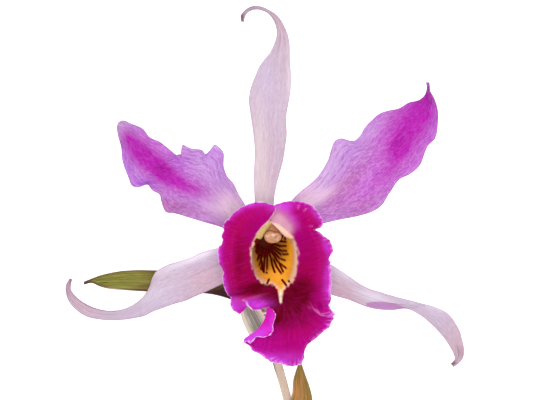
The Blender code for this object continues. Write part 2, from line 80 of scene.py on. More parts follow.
SEPAL_LEFT_UPPER = [
    (-5.4, -0.6), (-10, -0.4), (-17.6, -1.9), (-24.4, -3.8), (-28.1, -5.6), (-31.9, -6.8), (-35.6, -7.9),
    (-39.4, -9.8), (-40.5, -10.5), (-42, -12.8), (-43.1, -16.1), (-45, -19.5), (-48.8, -22.9),
    (-52.9, -24.8), (-57.4, -25.5), (-62.6, -24.8), (-67.1, -22.9), (-70.7, -20.3), (-72.8, -17.6),
    (-72.4, -13.5)]
SEPAL_LEFT_LOWER = [
    (-3.6, -5.6), (-8, -11), (-16.1, -15.4), (-22.5, -18.4), (-25.9, -19.9), (-29.6, -21.6), (-34.1, -22.9),
    (-38.3, -24.4), (-42.4, -25.9), (-45.4, -27.4), (-48.8, -28.1), (-52.9, -28.7), (-57.8, -28.9),
    (-62.6, -28.5), (-67.1, -27.4), (-70.7, -25.1), (-73.1, -22.5), (-74.6, -18.8), (-74.6, -15.8),
    (-73.3, -13.3)]
SEPAL_RIGHT_UPPER = [
    (5.4, -0.6), (12, -2.6), (19, -5.6), (25.5, -8.6), (31.9, -12.8), (35.6, -15.4), (39.4, -17.3),
    (43.1, -18.4), (50.6, -20.6), (58.1, -22.5), (65.6, -24.8), (68.3, -26.3), (70.1, -28.1), (71.6, -30.4),
    (72.8, -32.6), (73.9, -36.4), (74.6, -40.1), (74.3, -42.8), (73.1, -44.6), (71.6, -45.9), (70.6, -46.5)]
SEPAL_RIGHT_LOWER = [
    (3.6, -5.6), (9, -11.4), (17, -16.2), (25.1, -19.5), (31.9, -21.4), (35.6, -22.9), (38.6, -24),
    (41.3, -24.6), (46.9, -25.1), (53.6, -24.8), (58.1, -27), (61.9, -30), (64.5, -32.6), (67.1, -35.6),
    (69.4, -39), (70.9, -42), (71.2, -43.6), (70.4, -44.6), (69.7, -45.2)]
PETAL_LEFT_UPPER = [
    (-3.6, 4.4), (-5.6, 9.4), (-7.9, 15), (-9.8, 18), (-12, 22.5), (-14.3, 25.1), (-15.4, 28.5),
    (-15.9, 34.5), (-17.3, 36), (-18.8, 36.9), (-20.3, 35.1), (-22.5, 33.4), (-23.3, 34.5), (-28.1, 35.6),
    (-30.1, 36.6), (-30.8, 36.9), (-31, 36.2), (-31.15, 33.2), (-31.5, 32.3), (-32.1, 32.4), (-35.6, 34.9),
    (-39.4, 37.9), (-43.1, 39.6), (-45.8, 42.8), (-49.9, 44.6), (-54, 45.8), (-55.1, 45), (-55.5, 43.5)]
PETAL_LEFT_LOWER = [
    (-5.6, 0.6), (-11, 3.4), (-16.1, 5.8), (-24.4, 8.3), (-28.1, 9.4), (-33.8, 11.1), (-37.1, 11.6),
    (-38.8, 15.4), (-39.4, 18), (-42.4, 19.9), (-43.9, 21.8), (-48, 20.8), (-49.5, 21.2), (-51.4, 25.1),
    (-53.4, 30.8), (-54, 36), (-55.1, 40.5), (-55.4, 42.3)]
PETAL_RIGHT_UPPER = [
    (3.6, 4.4), (6.6, 10.6), (10.5, 16.5), (13.1, 19.1), (18.8, 23.8), (20.6, 25.9), (22.5, 28.9),
    (24, 31.9), (24.8, 34.9), (26.6, 38.6), (28.1, 39.2), (31.9, 38.3), (33.4, 38.3), (35.6, 40.1),
    (37.5, 43.3), (40.1, 46.1), (43.1, 48.6), (45.8, 49.5), (50.6, 50.6), (53.6, 52.5), (58.1, 53.8),
    (59.6, 55.1), (60.5, 57), (60.7, 58.4), (60.4, 60.3)]
PETAL_RIGHT_LOWER = [
    (5.6, 0.6), (13, 4.6), (21.8, 7.3), (28.1, 8.8), (35.6, 10.3), (39.4, 11.4), (43.1, 13.5), (46.9, 19.1),
    (50.6, 24), (54.4, 25.9), (57.9, 28.9), (60, 34.1), (60.9, 36.2), (63.6, 39), (64.9, 45.4),
    (64.9, 49.1), (64.1, 52.5), (63, 55.1), (61.9, 57), (61.8, 58.4), (61.6, 60.2)]
BRACT_UPPER = [
    (-2.2, -24.6), (-6.6, -17.4), (-14, -12.6), (-24, -10.9), (-34, -10.4), (-40.5, -10.3), (-48.8, -10.2),
    (-54.4, -10.6), (-58.1, -11.2), (-61.9, -12.2), (-65.6, -13.7), (-67.9, -14.6)]
BRACT_LOWER = [
    (-1.6, -27.8), (-7, -24), (-13, -21), (-19.5, -19.2), (-28, -18.6), (-37, -18.4), (-43.9, -18.1),
    (-52.5, -17.6), (-60, -16.8), (-62.6, -15.9), (-64.9, -14.9), (-67.9, -15.5)]
DRY_SHEATH_UPPER = [(3, -38.4), (1.4, -31.4), (-1.6, -25), (-4.6, -21.6), (-8, -20.2)]
DRY_SHEATH_LOWER = [(2.8, -41.4), (-3.6, -37.4), (-7.4, -31.6), (-9.2, -25.6), (-8.9, -21)]
STEM_SHEATH_UPPER = [(6.4, -62.6), (10, -57.6), (10.8, -51), (11.8, -47.6), (12.7, -45.1)]
STEM_SHEATH_LOWER = [(17.6, -63.4), (17.8, -59), (16.4, -53), (14.8, -48.6), (13.6, -45.2)]

# The torn notch of the left petal: its steep side, its floor, and how far what fills it is squeezed.
NOTCH_BOTTOM = [(-33.6, 33.4), (-32.1, 32.5), (-31.5, 32.3), (-31.1, 32.2)]
NOTCH_STEEP = -31.1
NOTCH_SQUEEZE = 0.05

# How each blade runs up and down: pairs of the share of its length and a height.
DORSAL_RISE = [
    (0, -1), (0.10, 1.4), (0.25, 4), (0.42, 4), (0.58, 0), (0.72, -9), (0.84, -18), (0.94, -25.6),
    (1, -27.6)]
SEPAL_LEFT_RISE = [
    (0, -1), (0.12, 0), (0.3, -1), (0.42, -5), (0.55, -12.5), (0.68, -20.5), (0.8, -25.8), (0.9, -26.8),
    (1, -25.4)]
SEPAL_RIGHT_RISE = [
    (0, -1), (0.15, 0), (0.3, -1), (0.45, -4), (0.6, -9), (0.75, -16.5), (0.88, -23.9), (1, -27.4)]
PETAL_LEFT_RISE = [(0, 1.1), (0.15, 3.6), (0.35, 5.6), (0.55, 6), (0.75, 3.5), (1, -5)]
PETAL_RIGHT_RISE = [(0, 1.1), (0.15, 3.6), (0.35, 5.6), (0.55, 6), (0.75, 3), (1, -6)]
BRACT_RISE = [(0, -25.4), (0.1, -22), (0.3, -21), (0.6, -20.4), (0.85, -21), (1, -22.6)]
DRY_SHEATH_RISE = [(0, -23.7), (0.3, -20.8), (0.7, -18.4), (1, -17.6)]
STEM_SHEATH_RISE = [(0, -23.9), (0.4, -23.9), (1, -25.4)]

# How each blade rolls to one side and dishes across: pairs of the share of its length and a height.
LEVEL = [(0, 0), (1, 0)]
SEPAL_LEFT_ROLL = [(0, 0), (0.3, 0.6), (0.45, 3.2), (0.6, 2.6), (0.75, 1.4), (1, 0.4)]
SEPAL_RIGHT_ROLL = [(0, 0), (0.25, 0.3), (0.42, 2.4), (0.55, 3.4), (0.7, 2.0), (1, 0.2)]
STEM_ROLL = [(0, -0.8), (0.4, -0.3), (1, 0.0)]
DORSAL_CUP = [(0, 0.4), (0.3, -1.6), (0.6, -1.4), (0.8, 0.6), (1, 0.0)]
SEPAL_LEFT_CUP = [(0, 0.2), (0.3, -1.6), (0.5, -2.0), (0.7, -0.4), (1, 0.0)]
SEPAL_RIGHT_CUP = [(0, 0.2), (0.3, -1.2), (0.5, 1.0), (0.7, -0.6), (1, 0.0)]
PETAL_LEFT_CUP = [(0, 0.4), (0.3, -1.0), (0.7, -2.0), (1, -0.6)]
PETAL_RIGHT_CUP = [(0, 0.4), (0.3, -1.0), (0.7, -2.0), (1, -0.4)]
BRACT_CUP = [(0, 1.4), (0.3, 1.2), (0.8, 1.0), (1, 0.0)]
DRY_CUP = [(0, 0.6), (0.5, -1.0), (1, 0.0)]
STEM_CUP = [(0, -0.6), (0.5, -1.0), (1, 0.0)]
DISH_LEVEL = 0.33

# A ruffle is its height, its waves and where they start. A crease is its place across, height, width,
# start and end.
PETAL_LEFT_RUFFLE = (1.6, 4.2, 0.6)
PETAL_RIGHT_RUFFLE = (1.6, 4.4, 2.0)
DORSAL_CREASE = (0.36, 0.7, 0.13, 0.1, 0.85)
SEPAL_RIGHT_CREASE = (0.0, 0.5, 0.2, 0.55, 0.98)
NO_CREASE = (0.0, 0.0, 1.0, 0.0, 1.0)
CREASE_FADE = 0.12

# Rows and columns of each mesh, then a blade's thickness: its middle, its rim and the reach between.
SEPAL_MESH = (170, 30)
PETAL_MESH = (200, 64)
BRACT_MESH = (130, 26)
DRY_MESH = (70, 40)
STEM_MESH = (80, 40)
COLUMN_MESH = (40, 56)
CAP_MESH = (26, 48)
OVARY_MESH = (90, 40)
PEDUNCLE_MESH = (110, 32)
SEPAL_THICKNESS = (0.7, 0.3, 1.4)
PETAL_THICKNESS = (0.65, 0.25, 2.0)
BRACT_THICKNESS = (0.7, 0.3, 1.2)
LIP_THICKNESS = 0.6
LIP_RIM_THICKNESS = 0.28

# How strongly a blade's inner mesh is evened out, over which share of its length, how its columns crowd
# towards the rim, and how many waves make an uneven field.
PETAL_EVENING = 0.008
EVEN_FROM = 0.1
EVEN_TO = 0.82
EVEN_FADE = 0.1
RIM_CROWDING = 0.35
RIPPLE_WAVES = 7
RIPPLE_SPAN = 3.2

# The lip, one row a spoke round the mouth of its tube: mouth, limb and edge points. Beside the gap the
# row goes on with a flare point before the edge, and with the rolled margin's middle and free edge.
LIP_SPOKES = [
    [(1.6, 8.7, 28.9), (3.2, 11.2, 30.6), (4, 14, 31)],
    [(0.2, 7.5, 27.9), (-1, 11.6, 29.8), (-1.1, 15.8, 28.8)],
    [(-1.5, 6, 27.2), (-4.6, 9.8, 29.6), (-7.1, 14.3, 28.6)],
    [(-3.3, 3.7, 26.2), (-8.2, 7, 29.8), (-12.8, 10.9, 28.2)],
    [(-4.7, 0.8, 25.2), (-10.6, 3.2, 30.2), (-15.8, 6.4, 27.6)],
    [(-5.4, -2.2, 24.5), (-11.4, -0.4, 30.4), (-16.5, 1.9, 27.4)],
    [(-5.6, -5.6, 23.8), (-12, -4.1, 30.4), (-17.8, -3, 27.2)],
    [(-5.3, -8.6, 23.2), (-11.6, -9, 30), (-16.9, -8.6, 27.4)],
    [(-4.7, -11, 22.6), (-10.9, -13.9, 29.2), (-15.8, -14.3, 27.2)],
    [(-3.9, -12.9, 21.8), (-9.4, -17.6, 28.2), (-14.3, -19.1, 26.6)],
    [(-3, -14.3, 21), (-7.4, -19.6, 26.4), (-12.6, -24.2, 25.2)],
    [(-1.9, -15.4, 20.2), (-5.2, -20.4, 24.6), (-9.8, -27, 23.8)],
    [(-0.8, -16.1, 19.4), (-3.2, -20.4, 23), (-7.1, -24.2, 23.2)],
    [(0.4, -16.5, 18.6), (-1, -20.4, 21.6), (-3.4, -25.1, 21.6)],
    [(1.6, -16.9, 18.2), (1.4, -20.4, 20.6), (0.4, -24.4, 20.4)],
    [(2.8, -17.2, 18), (3.9, -21, 20.2), (4, -23.2, 20.6), (0.8, -25, 20.3), (2.4, -25.3, 22.4),
     (3.6, -25.6, 22.6)],
    [(3.8, -17.4, 18), (6, -22.8, 20.4), (5.2, -26.6, 20.9), (0.5, -27.6, 20.1), (2.4, -27.8, 22.7),
     (4.1, -27.6, 22.9)],
    [(4.9, -17.5, 18), (7.1, -24.2, 20.6), (6, -29.6, 20.8), (-0.9, -30.6, 19.5), (1.4, -31, 22.3),
     (3.1, -31.2, 22.5)],
    [(5.8, -17.6, 18), (8.1, -25, 20.8), (6.2, -33, 20.3), (-3, -33, 18.6), (-0.6, -34.2, 21.2),
     (1.4, -35, 21.6)],
    [(6.6, -17.6, 18), (9, -25.6, 21), (6.7, -36, 19.6), (-4.8, -34.9, 17.9), (-5.8, -35.2, 18.6),
     (-6, -35, 19)],
    [(7.2, -17.6, 18.1), (9.8, -26.2, 21.1), (7.1, -39, 18.6), (-5.6, -37.6, 16.4), (-7.4, -37.4, 17),
     (-8.5, -37, 17.8)],
    [(7.8, -17.6, 18.2), (10.6, -26.6, 21.2), (7.9, -40.4, 18), (0.4, -42.8, 14.4)],
    [(8.4, -17.5, 18.4), (11.3, -26.8, 21.2), (9.6, -41.2, 17.6), (6.4, -45.4, 13.8)],
    [(8.9, -17.4, 18.6), (12, -26.8, 21.3), (12, -40.6, 17.6), (12, -46, 13.8)],
    [(9.4, -17.3, 18.8), (12.7, -26.6, 21.5), (14.2, -37.6, 18.8), (14.6, -42.4, 15.4)],
    [(9.8, -17.1, 19.1), (13.5, -26, 21.8), (16.2, -33.4, 20.2), (19, -36, 17.6)],
    [(10.2, -16.8, 19.5), (14.3, -25, 22.2), (18.8, -29.8, 21.4), (24, -31.8, 19.6)],
    [(10.7, -16.2, 20.2), (15.2, -23.4, 22.6), (20.6, -26.2, 22.6), (26.4, -27.2, 21.4)],
    [(11.2, -15.2, 21), (16.4, -20.2, 23.4), (20.8, -21.6, 23.6), (24.9, -21.6, 23)],
    [(11.9, -13.2, 21.8), (18.2, -15.4, 26.6), (24.7, -15.4, 25)],
    [(12.5, -9.9, 22.6), (19.1, -9.4, 28.6), (24.5, -7.6, 26.4)],
    [(12.7, -5.6, 23.4), (19.4, -4, 29.4), (25.6, -3, 27)],
    [(12.4, -1.1, 24), (18.2, 0.9, 29.6), (22.3, 1.9, 27.4)],
    [(11.4, 1.6, 24.4), (16.2, 4.6, 29.8), (19.2, 5.2, 28.2)],
    [(9.6, 2, 24.8), (15.2, 8.6, 30.2), (21.6, 8.6, 28.6)],
    [(7.6, 3, 25.4), (11.8, 11.4, 30.2), (17.6, 13.8, 29.2)],
    [(4.4, 6.1, 27.3), (6.9, 12, 29.6), (9.4, 15.8, 29.8)],
    [(0.9, 9.2, 27.4), (1.6, 11.6, 28.6), (2.6, 14.4, 29.2)]]
LIP_NECKS = {0: (2.2, 7.4, 25.4), 1: (1.3, 6.2, 24.6), 2: (0.2, 4.6, 23.6), 3: (-1.2, 2.2, 22.4),
             4: (-3.2, -0.4, 20.8), 34: (9, 3.6, 20.4), 35: (7.9, 6.2, 22), 36: (5, 8.9, 23.2),
             37: (2.6, 10.2, 23.6)}
LIP_ROOT = (0.0, -0.6, 2.8)
LIP_ROOT_RADII = (2.7, 2.7)
LIP_FOOT = (0.0, -1.1, 3.2)
LIP_FOOT_RADII = (4.3, 4.3)
LIP_WALL = (0.75, -2.4, 12.5)
LIP_WALL_RADII = (6.5, 8.0)
LIP_WALL_LEAN = 1.2
LIP_THROAT = (3.2, -4.2)
LIP_SEAM = 0.12
LIP_FLARE_RISE = 0.5
LIP_STEPS = (2, 4, 10, 14, 22, 11, 8, 7, 8)
LIP_AROUND = 14
LIP_EDGE = 8
FRILL_HEIGHT = 1.1
FRILL_COUNT = 26
FRILL_FROM = 4.7
CRINKLE_HEIGHT = 0.3
FRILL_SHARE = [
    (0, 0.6), (3, 1), (9, 1), (11, 0.4), (14, 0.1), (19, 0.1), (21, 0.8), (27, 1), (34, 1), (37, 0.4)]

# Where the lip's relief and paint come up, in rings: foot 0, wall 1, neck 2, mouth 3, limb 4, edge 8.
LIP_FADES = {
    "root": (-1.0, -0.85), "foot": (-0.3, 0.2), "pale_back": (1.5, 3.6), "tube": (2.50, 2.66),
    "tongue": (2.6, 3.4), "crest_highlight": (2.7, 2.9), "mouth": (2.88, 3.02), "dusty": (2.9, 3.2),
    "keel": (3.0, 3.6), "crease": (3.4, 4.0), "fold": (3.6, 4.2), "pleats": (3.6, 5.0),
    "swell": (3.6, 5.2), "pale_streaks_and_highlights": (4.0, 5.0), "white": (4.2, 4.8), "outer": (4.6, 6.5),
    "reverse": (5.9, 6.2), "thin": (6.4, 8.0), "rim": (7.72, 7.93)}

# Heights of relief in millimetres.
PETAL_RELIEF = {"keel": -0.22, "frill": 0.12, "fine": 0.05, "swell": 0.35, "veins": 0.06}
SEPAL_RELIEF = {"keel": -0.35, "veins": 0.05, "swell": 0.22}
BRACT_RELIEF = {"ribs": 0.10, "keel": 0.25, "swell": 0.2}
LIP_RELIEF = {"keel": 0.4, "crease": -0.7, "lift": 0.6, "crumple": 0.75, "pleats": 0.10, "pinches": 0.05,
              "swell": 0.35}

# The same round the mouth, in spokes: where the rolled margin and the lobe over the throat start and end.
ROLL_STARTS = (14.0, 14.8)
ROLL_ENDS = (19.4, 20.0)
REVERSE_STARTS = (14.2, 14.8)
REVERSE_ENDS = (19.2, 20.0)
AWNING_STARTS = (33.0, 34.2)
DUSTY_STARTS = (33.5, 34.5)

# The torn and frilled rim of the lip as the picture shows it, in pixels: the left lobe from the cusp to
# the gap, the free edge of the rolled margin, and the rest, on round to the cusp. The outer rings are
# pulled out to it, over fewer rings on the rolled margin.
RIM_LEFT = [
    (275.8, 205.8), (272, 204.6), (268, 203.5), (260.4, 201.8), (254.9, 202.4), (250.5, 203.2),
    (246.2, 204.8), (242.9, 206.7), (239.6, 208.9), (234.2, 212.2), (231.5, 215.5), (229.3, 218.2),
    (226, 220.4), (223.8, 224.2), (223.3, 227.5), (224.4, 230.7), (222, 233.5), (221.3, 236.7),
    (223.8, 238.9), (222.7, 241.6), (222.2, 244.9), (218.9, 246.5), (217.8, 249.8), (217.6, 253.6),
    (218.4, 257.5), (218.9, 262.4), (220, 265.6), (222.2, 267.8), (224.4, 271.1), (223.3, 273.3),
    (222.4, 276.5), (222.7, 280.9), (223.8, 285.3), (225.5, 290.7), (228.2, 295.6), (231.5, 297.8),
    (230.4, 302.7), (230.7, 306), (233.1, 310.4), (236.4, 312.5), (239.6, 314.2), (240.7, 311.5),
    (241.3, 308.2), (243.5, 306), (246.2, 304.9), (251.6, 309.8), (257.1, 310.4), (262.5, 308.2),
    (267, 307.2)]
RIM_ROLL = [
    (267, 307.2), (272.9, 309.6), (275.9, 314.3), (275.6, 317.6), (274.1, 320.8), (272.9, 325.6),
    (273.7, 330.3), (270.6, 335), (263.5, 337.6), (256.4, 336.2), (254, 339.7), (250.5, 343.9),
    (247.2, 341.6), (244.6, 342.8), (242.8, 342)]
RIM_RIGHT = [
    (242.8, 342), (246.3, 343.6), (249.6, 346.1), (251.4, 350.2), (258.5, 353.7), (264.7, 357.8),
    (269.8, 361.4), (274.8, 363.4), (282, 363.9), (287.1, 366), (293.2, 366.3), (298.3, 364.9),
    (301.5, 364.9), (302.8, 360.9), (304.6, 357.8), (303.9, 356.3), (303.2, 350.7), (304.4, 350.2),
    (305.9, 346.1), (309.5, 343), (314.6, 339.5), (319.6, 334.9), (325.8, 329.8), (330.3, 326.8),
    (330.9, 322.7), (333.9, 318.6), (333.4, 315.5), (335.7, 314.5), (331.9, 310.5), (328.3, 304.9),
    (329.8, 303.3), (331.4, 298.2), (330.6, 293.1), (331.4, 284.8), (330.8, 275.4), (331.4, 268.3),
    (329.6, 267.2), (331.2, 265.6), (329.2, 264.2), (331, 262.4), (328.8, 260.6), (328.1, 258.2),
    (329, 255.9), (332, 253.5), (333.5, 250.6), (332, 244.6), (329, 239.3), (323.7, 235.8), (319.6, 231.6),
    (313.1, 229.9), (314.8, 229.3), (321.3, 227.5), (322.9, 225.1), (322.5, 222.8), (322.5, 219.2),
    (319.6, 214.5), (316, 209.8), (311.9, 205), (307.7, 203), (298.3, 201.5), (291.2, 200.7),
    (284.1, 201.9), (278.2, 203.9), (274.6, 205.6), (271.6, 206.4)]
LIP_RIMS = ((RIM_LEFT, 0, 14), (RIM_ROLL, 14, 20), (RIM_RIGHT, 20, 37))
RIM_SAMPLES = 3000
PULL_REACH = 3.0
ROLL_PULL_REACH = 1.1

# Round parts: rows of a place on the middle line and the radius there.
OVARY = [
    (0, 0, 2.4, 4.6), (0, 0, 0.9, 4.9), (0, 0, -1.6, 4.4), (0, -0.2, -3.4, 2.4), (0, -1, -7, 2.3),
    (0, -3, -11.5, 2.1), (0, -7.4, -16.4, 1.8), (-0.2, -13, -20.4, 1.6), (-0.4, -18, -23.2, 1.5),
    (-0.2, -23, -25.4, 1.7), (0.2, -25.6, -26, 1.8)]
PEDUNCLE = [
    (0.4, -26.6, -26.1, 1.7), (1.4, -31, -26.2, 1.8), (2.7, -38, -26.2, 1.8), (4.2, -43.4, -26.2, 1.8),
    (5, -46.4, -26.2, 1.75), (5.9, -49.4, -26.25, 1.7), (8, -57, -26.35, 1.6), (9.6, -64, -26.35, 1.6)]
COLUMN = [
    (0, -0.4, 2.9, 2.3), (0.2, 0, 7, 2.3), (0.9, 1.2, 12, 2.4), (1.8, 2.7, 17, 2.6), (2.4, 4, 20.6, 2.9),
    (2.7, 4.6, 22.4, 2.7), (2.8, 4.8, 23.4, 1.8)]
CAP = [
    (2.6, 2.9, 22.2, 1.9), (2.7, 2.6, 22.9, 2.5), (2.8, 2.2, 24, 2.6), (2.9, 1.9, 25, 2.1),
    (2.95, 1.8, 25.6, 1.1)]

# Painted places, in pixels of the picture: centre, the two half-widths, the turn in degrees, the strength.
PETAL_SPOTS = {
    "bloom": [(160, 148, 24, 8, -35, 0.6), (138, 146, 22, 14, -48, 0.8), (162, 168, 28, 20, -42, 0.95),
              (190, 188, 30, 12, -22, 0.75), (416, 122, 40, 28, 62, 1.3), (402, 148, 30, 24, 50, 1),
              (384, 174, 32, 17, 45, 0.9), (362, 190, 28, 10, 32, 0.5)],
    "magenta": [(130, 139, 12, 5, -52, 0.6), (137, 150, 16, 9, -50, 0.8), (152, 163, 20, 11, -44, 0.95),
                (168, 174, 17, 9, -38, 0.9), (188, 187, 18, 7, -20, 0.75), (409, 124, 30, 20, 62, 0.95),
                (398, 148, 16, 11, 50, 0.75), (425, 112, 18, 10, 70, 0.6), (424, 96, 12, 8, 60, 0.5),
                (388, 172, 24, 8, 45, 0.5)],
    "deep": [(148, 151, 9, 4, -50, 0.4), (163, 170, 11, 5, -45, 0.9), (400, 140, 13, 6, 58, 0.6)],
    "violet": [(128, 160, 7, 18, 12, 0.75), (145, 182, 14, 5, 0, 1), (177, 163, 11, 8, -20, 0.75),
               (414, 100, 16, 10, 60, 0.6), (431, 116, 6, 24, 0, 0.7), (418, 144, 13, 6, 45, 0.4),
               (214, 152, 10, 9, 0, 0.25)],
    "pink": [(180, 208, 34, 9, -15, 0.7), (164, 204, 12, 8, -20, 0.5), (362, 176, 46, 14, 50, 1),
             (372, 198, 30, 9, 42, 1), (338, 196, 26, 9, 35, 0.7)],
    "cream": [(232, 209, 22, 14, -30, 1), (248, 222, 14, 10, -40, 0.6), (304, 192, 16, 12, 40, 0.7),
              (322, 196, 18, 7, 32, 0.7), (300, 210, 14, 10, 40, 0.7)],
    # In pale, the thin line at (148, 178.6) is a painted highlight along a fold; the shade patches are
    # painted shade at the notch and under that fold.
    "pale": [(121, 127, 6, 9, 0, 0.85), (128, 135, 11, 1, -52, 0.45), (148, 178.6, 5, 0.9, 3, 0.6),
             (374, 132, 11, 6, 45, 0.45), (334, 150, 16, 9, 60, 0.35), (217, 146, 8, 4, -35, 0.5),
             (172, 211, 20, 2.6, -16, 0.4), (324, 176, 22, 10, 55, 0.6), (214, 208, 16, 8, -30, 0.4),
             (206, 168, 14, 12, 0, 0.2), (232, 196, 14, 7, -60, 0.35)],
    "shade": [(176.6, 158, 4, 1.6, -30, 0.4), (148, 182.6, 9, 1.2, 3, 0.4)]}
SEPAL_SPOTS = {
    "lilac": [(266, 78, 10, 34, 8, 0.95), (160, 300, 26, 12, 30, 0.9), (205, 262, 26, 9, 22, 0.6),
              (130, 314, 22, 6, 6, 0.6), (410, 298, 34, 9, -22, 0.95), (440, 322, 14, 20, 20, 0.6)],
    "white": [(344, 268, 16, 8, -35, 1), (200, 252, 34, 7, 18, 0.5), (372, 297, 20, 6, -20, 0.8),
              (290, 80, 3, 40, 0, 0.5), (195, 258, 40, 4, 22, 0.6), (384, 287, 40, 3.5, -16, 0.6),
              (425, 302, 22, 6, -25, 0.45), (150, 296, 20, 6, 25, 0.4)],
    "blush": [(345, 292, 18, 9, -18, 0.95), (212, 282, 22, 13, 20, 0.8), (200, 274, 10, 8, 0, 0.3),
              (268, 150, 9, 34, 0, 0.3), (80, 305, 16, 12, -40, 0.7), (458, 345, 9, 22, 20, 0.8),
              (276, 22, 20, 14, -30, 0.7), (284, 60, 5, 30, 0, 0.4)],
    "brown": [(72, 281, 3, 5, 0, 1), (66, 292, 2.6, 10, 0, 0.35), (241, 17, 4, 5, 0, 1),
              (451, 362.4, 4.5, 3, 0, 1), (451, 362.4, 4, 2.4, 0, 0.6), (460, 352, 4, 8, 20, 0.3)],
    "cream": [(260, 158, 8, 42, 0, 1), (232, 285, 14, 10, 0, 0.3), (262, 198, 10, 20, 0, 1)]}
LIP_SPOTS = {
    "crimson": [(240, 250, 12, 34, 8, 0.95), (246, 274, 18, 18, 30, 0.95), (313, 246, 13, 34, -6, 0.4),
                (304, 278, 16, 26, -20, 0.85), (268, 292, 30, 9, 8, 0.95), (300, 325, 26, 18, 0, 0.55),
                (250, 218, 14, 9, 30, 0.55), (312, 218, 10, 12, 0, 0.55)],
    "burgundy": [(292, 302, 20, 15, 0, 1.1), (268, 293, 19, 8, 0, 1.1), (274, 303, 6, 8, 0, 1),
                 (250, 288, 15, 5, 12, 0.9), (238, 262, 5, 20, 0, 0.5), (303, 287, 13, 11, 0, 0.8),
                 (278, 318, 13, 10, 0, 0.75), (300, 320, 16, 8, 10, 0.35), (229, 295, 6, 3, 20, 0.7)],
    "violet": [(281, 207, 11, 5, 10, 0.8), (291, 217, 4, 11, 35, 0.55), (328, 282, 5, 18, 0, 0.5),
               (327, 248, 4, 12, 25, 0.5), (233, 305, 6, 8, 0, 0.9), (256, 304.6, 13, 4.4, 4, 1),
               (249, 301, 9, 2.6, 10, 0.6), (273, 359, 16, 4, -20, 0.6), (288, 358, 16, 6, 0, 0.5),
               (316, 214, 4, 9, 40, 0.5), (258, 204, 16, 3, 4, 0.6), (225, 284, 3, 14, 10, 0.5),
               (219.5, 255, 2.5, 14, 0, 0.5), (239, 210, 12, 3, 35, 0.5)],
    # A painted highlight along the ridge of the left lobe's upturned margin.
    "ridge_highlight": [(250, 298.2, 13, 1.6, 14, 0.6), (238, 300, 6, 2, 15, 0.35)]}
ROLL_VIOLET = [(260, 334, 12, 5, 30, 0.9), (249, 341, 8, 5, 20, 1.0), (272, 322, 2.4, 10, 0, 0.5)]
MILK_SPOTS = [(279, 226, 10, 5, -45, 0.6), (251.6, 246, 1.6, 22, 0, 0.6), (260, 281, 9, 3, -35, 0.8)]
OCHRE_SPOTS = [(291, 248, 4, 12, 0, 0.9), (288, 262, 6, 9, 0, 0.35)]
DUSTY_SPOTS = [(279, 220, 13, 7.5, -42, 1.25), (288, 229, 6, 5, -60, 0.7)]
BLEND_SPOTS = [(284, 233, 11, 7, -45, 0.6)]
CRUMPLE_SPOTS = [(322, 309, 15, 7, 0, 1.0), (304, 316, 12, 8, 0, 0.35), (300, 226, 14, 5, 0, 0.3)]
CAP_GLINTS = [(273.4, 235.0, 1.5, 1.2, 0, 0.8), (268.6, 236.6, 1.0, 0.8, 0, 0.4)]
BRACT_BROWN = [(88, 283, 7, 3, 0, 1.0), (145, 288, 12, 4, 10, 0.7), (152, 275, 8, 8, 0, 0.4),
               (104, 287, 8, 2, 0, 0.6)]
BRACT_WEDGE = [(222, 296, 34, 16, 0, 1.0), (240, 305, 20, 12, 0, 1.0)]
BRACT_PALE = [(112, 289.4, 16, 1.2, -6, 0.6)]
DRY_BROWN = [(250, 312, 5, 4, 0, 0.3)]
STEM_BROWN = [(297, 393, 8, 13, 20, 0.9), (302, 380, 3, 6, 0, 0.5)]

# Painted outlines and lines, in pixels of the picture.
REVERSE_BAND = [
    (366, 303.4), (374, 302), (384, 302.2), (394, 304.2), (403, 307), (409, 308.6), (404, 311), (390, 312),
    (378, 311), (366, 306)]
HOOK_LINE = [(73.4, 284), (75, 292), (80.4, 300), (90, 306.6), (102, 310.2), (116, 311.6)]
CREAM_OUTLINE = [
    (269, 220.2), (262.4, 226.6), (256.2, 234.8), (251.6, 243), (250, 252), (250.8, 262.3), (254.2, 274.8),
    (259.4, 281.8), (265.5, 285.4), (270, 285), (274.8, 286.6), (277.8, 290), (278.8, 296), (280.6, 303.4),
    (282.2, 296), (283.8, 290.4), (286.8, 287.2), (292.2, 283.6), (296.4, 275), (298.4, 264), (298.4, 252),
    (296.6, 243), (293, 236), (288, 231.4), (280, 225)]
YELLOW_OUTLINE = [
    (253.6, 244), (252.8, 256), (254.2, 267), (258.2, 275.6), (263.8, 281), (271.4, 282.6), (276.6, 285),
    (279.2, 290.4), (281.8, 291), (284, 285.6), (288.8, 281.6), (292.6, 273), (294.2, 262), (293.8, 250),
    (292, 242), (288.6, 237.6), (283, 236), (270, 236), (258, 238)]
STRAW_OUTLINE = [
    (269.5, 218), (256, 232), (253, 238.6), (262, 240), (268.4, 239.6), (270.4, 234), (270.4, 224)]
# CORE_OUTLINE is the dark heart of the throat: the lip's own maroon with painted shade deep in the tube.
CORE_OUTLINE = [
    (254.2, 240.6), (259, 238.6), (266, 238.6), (273, 241.4), (274.2, 247), (273.4, 252), (270.4, 256.2),
    (265, 258.2), (259, 257), (254.4, 251)]
CORE_MIDDLE = (267.0, 247.5)
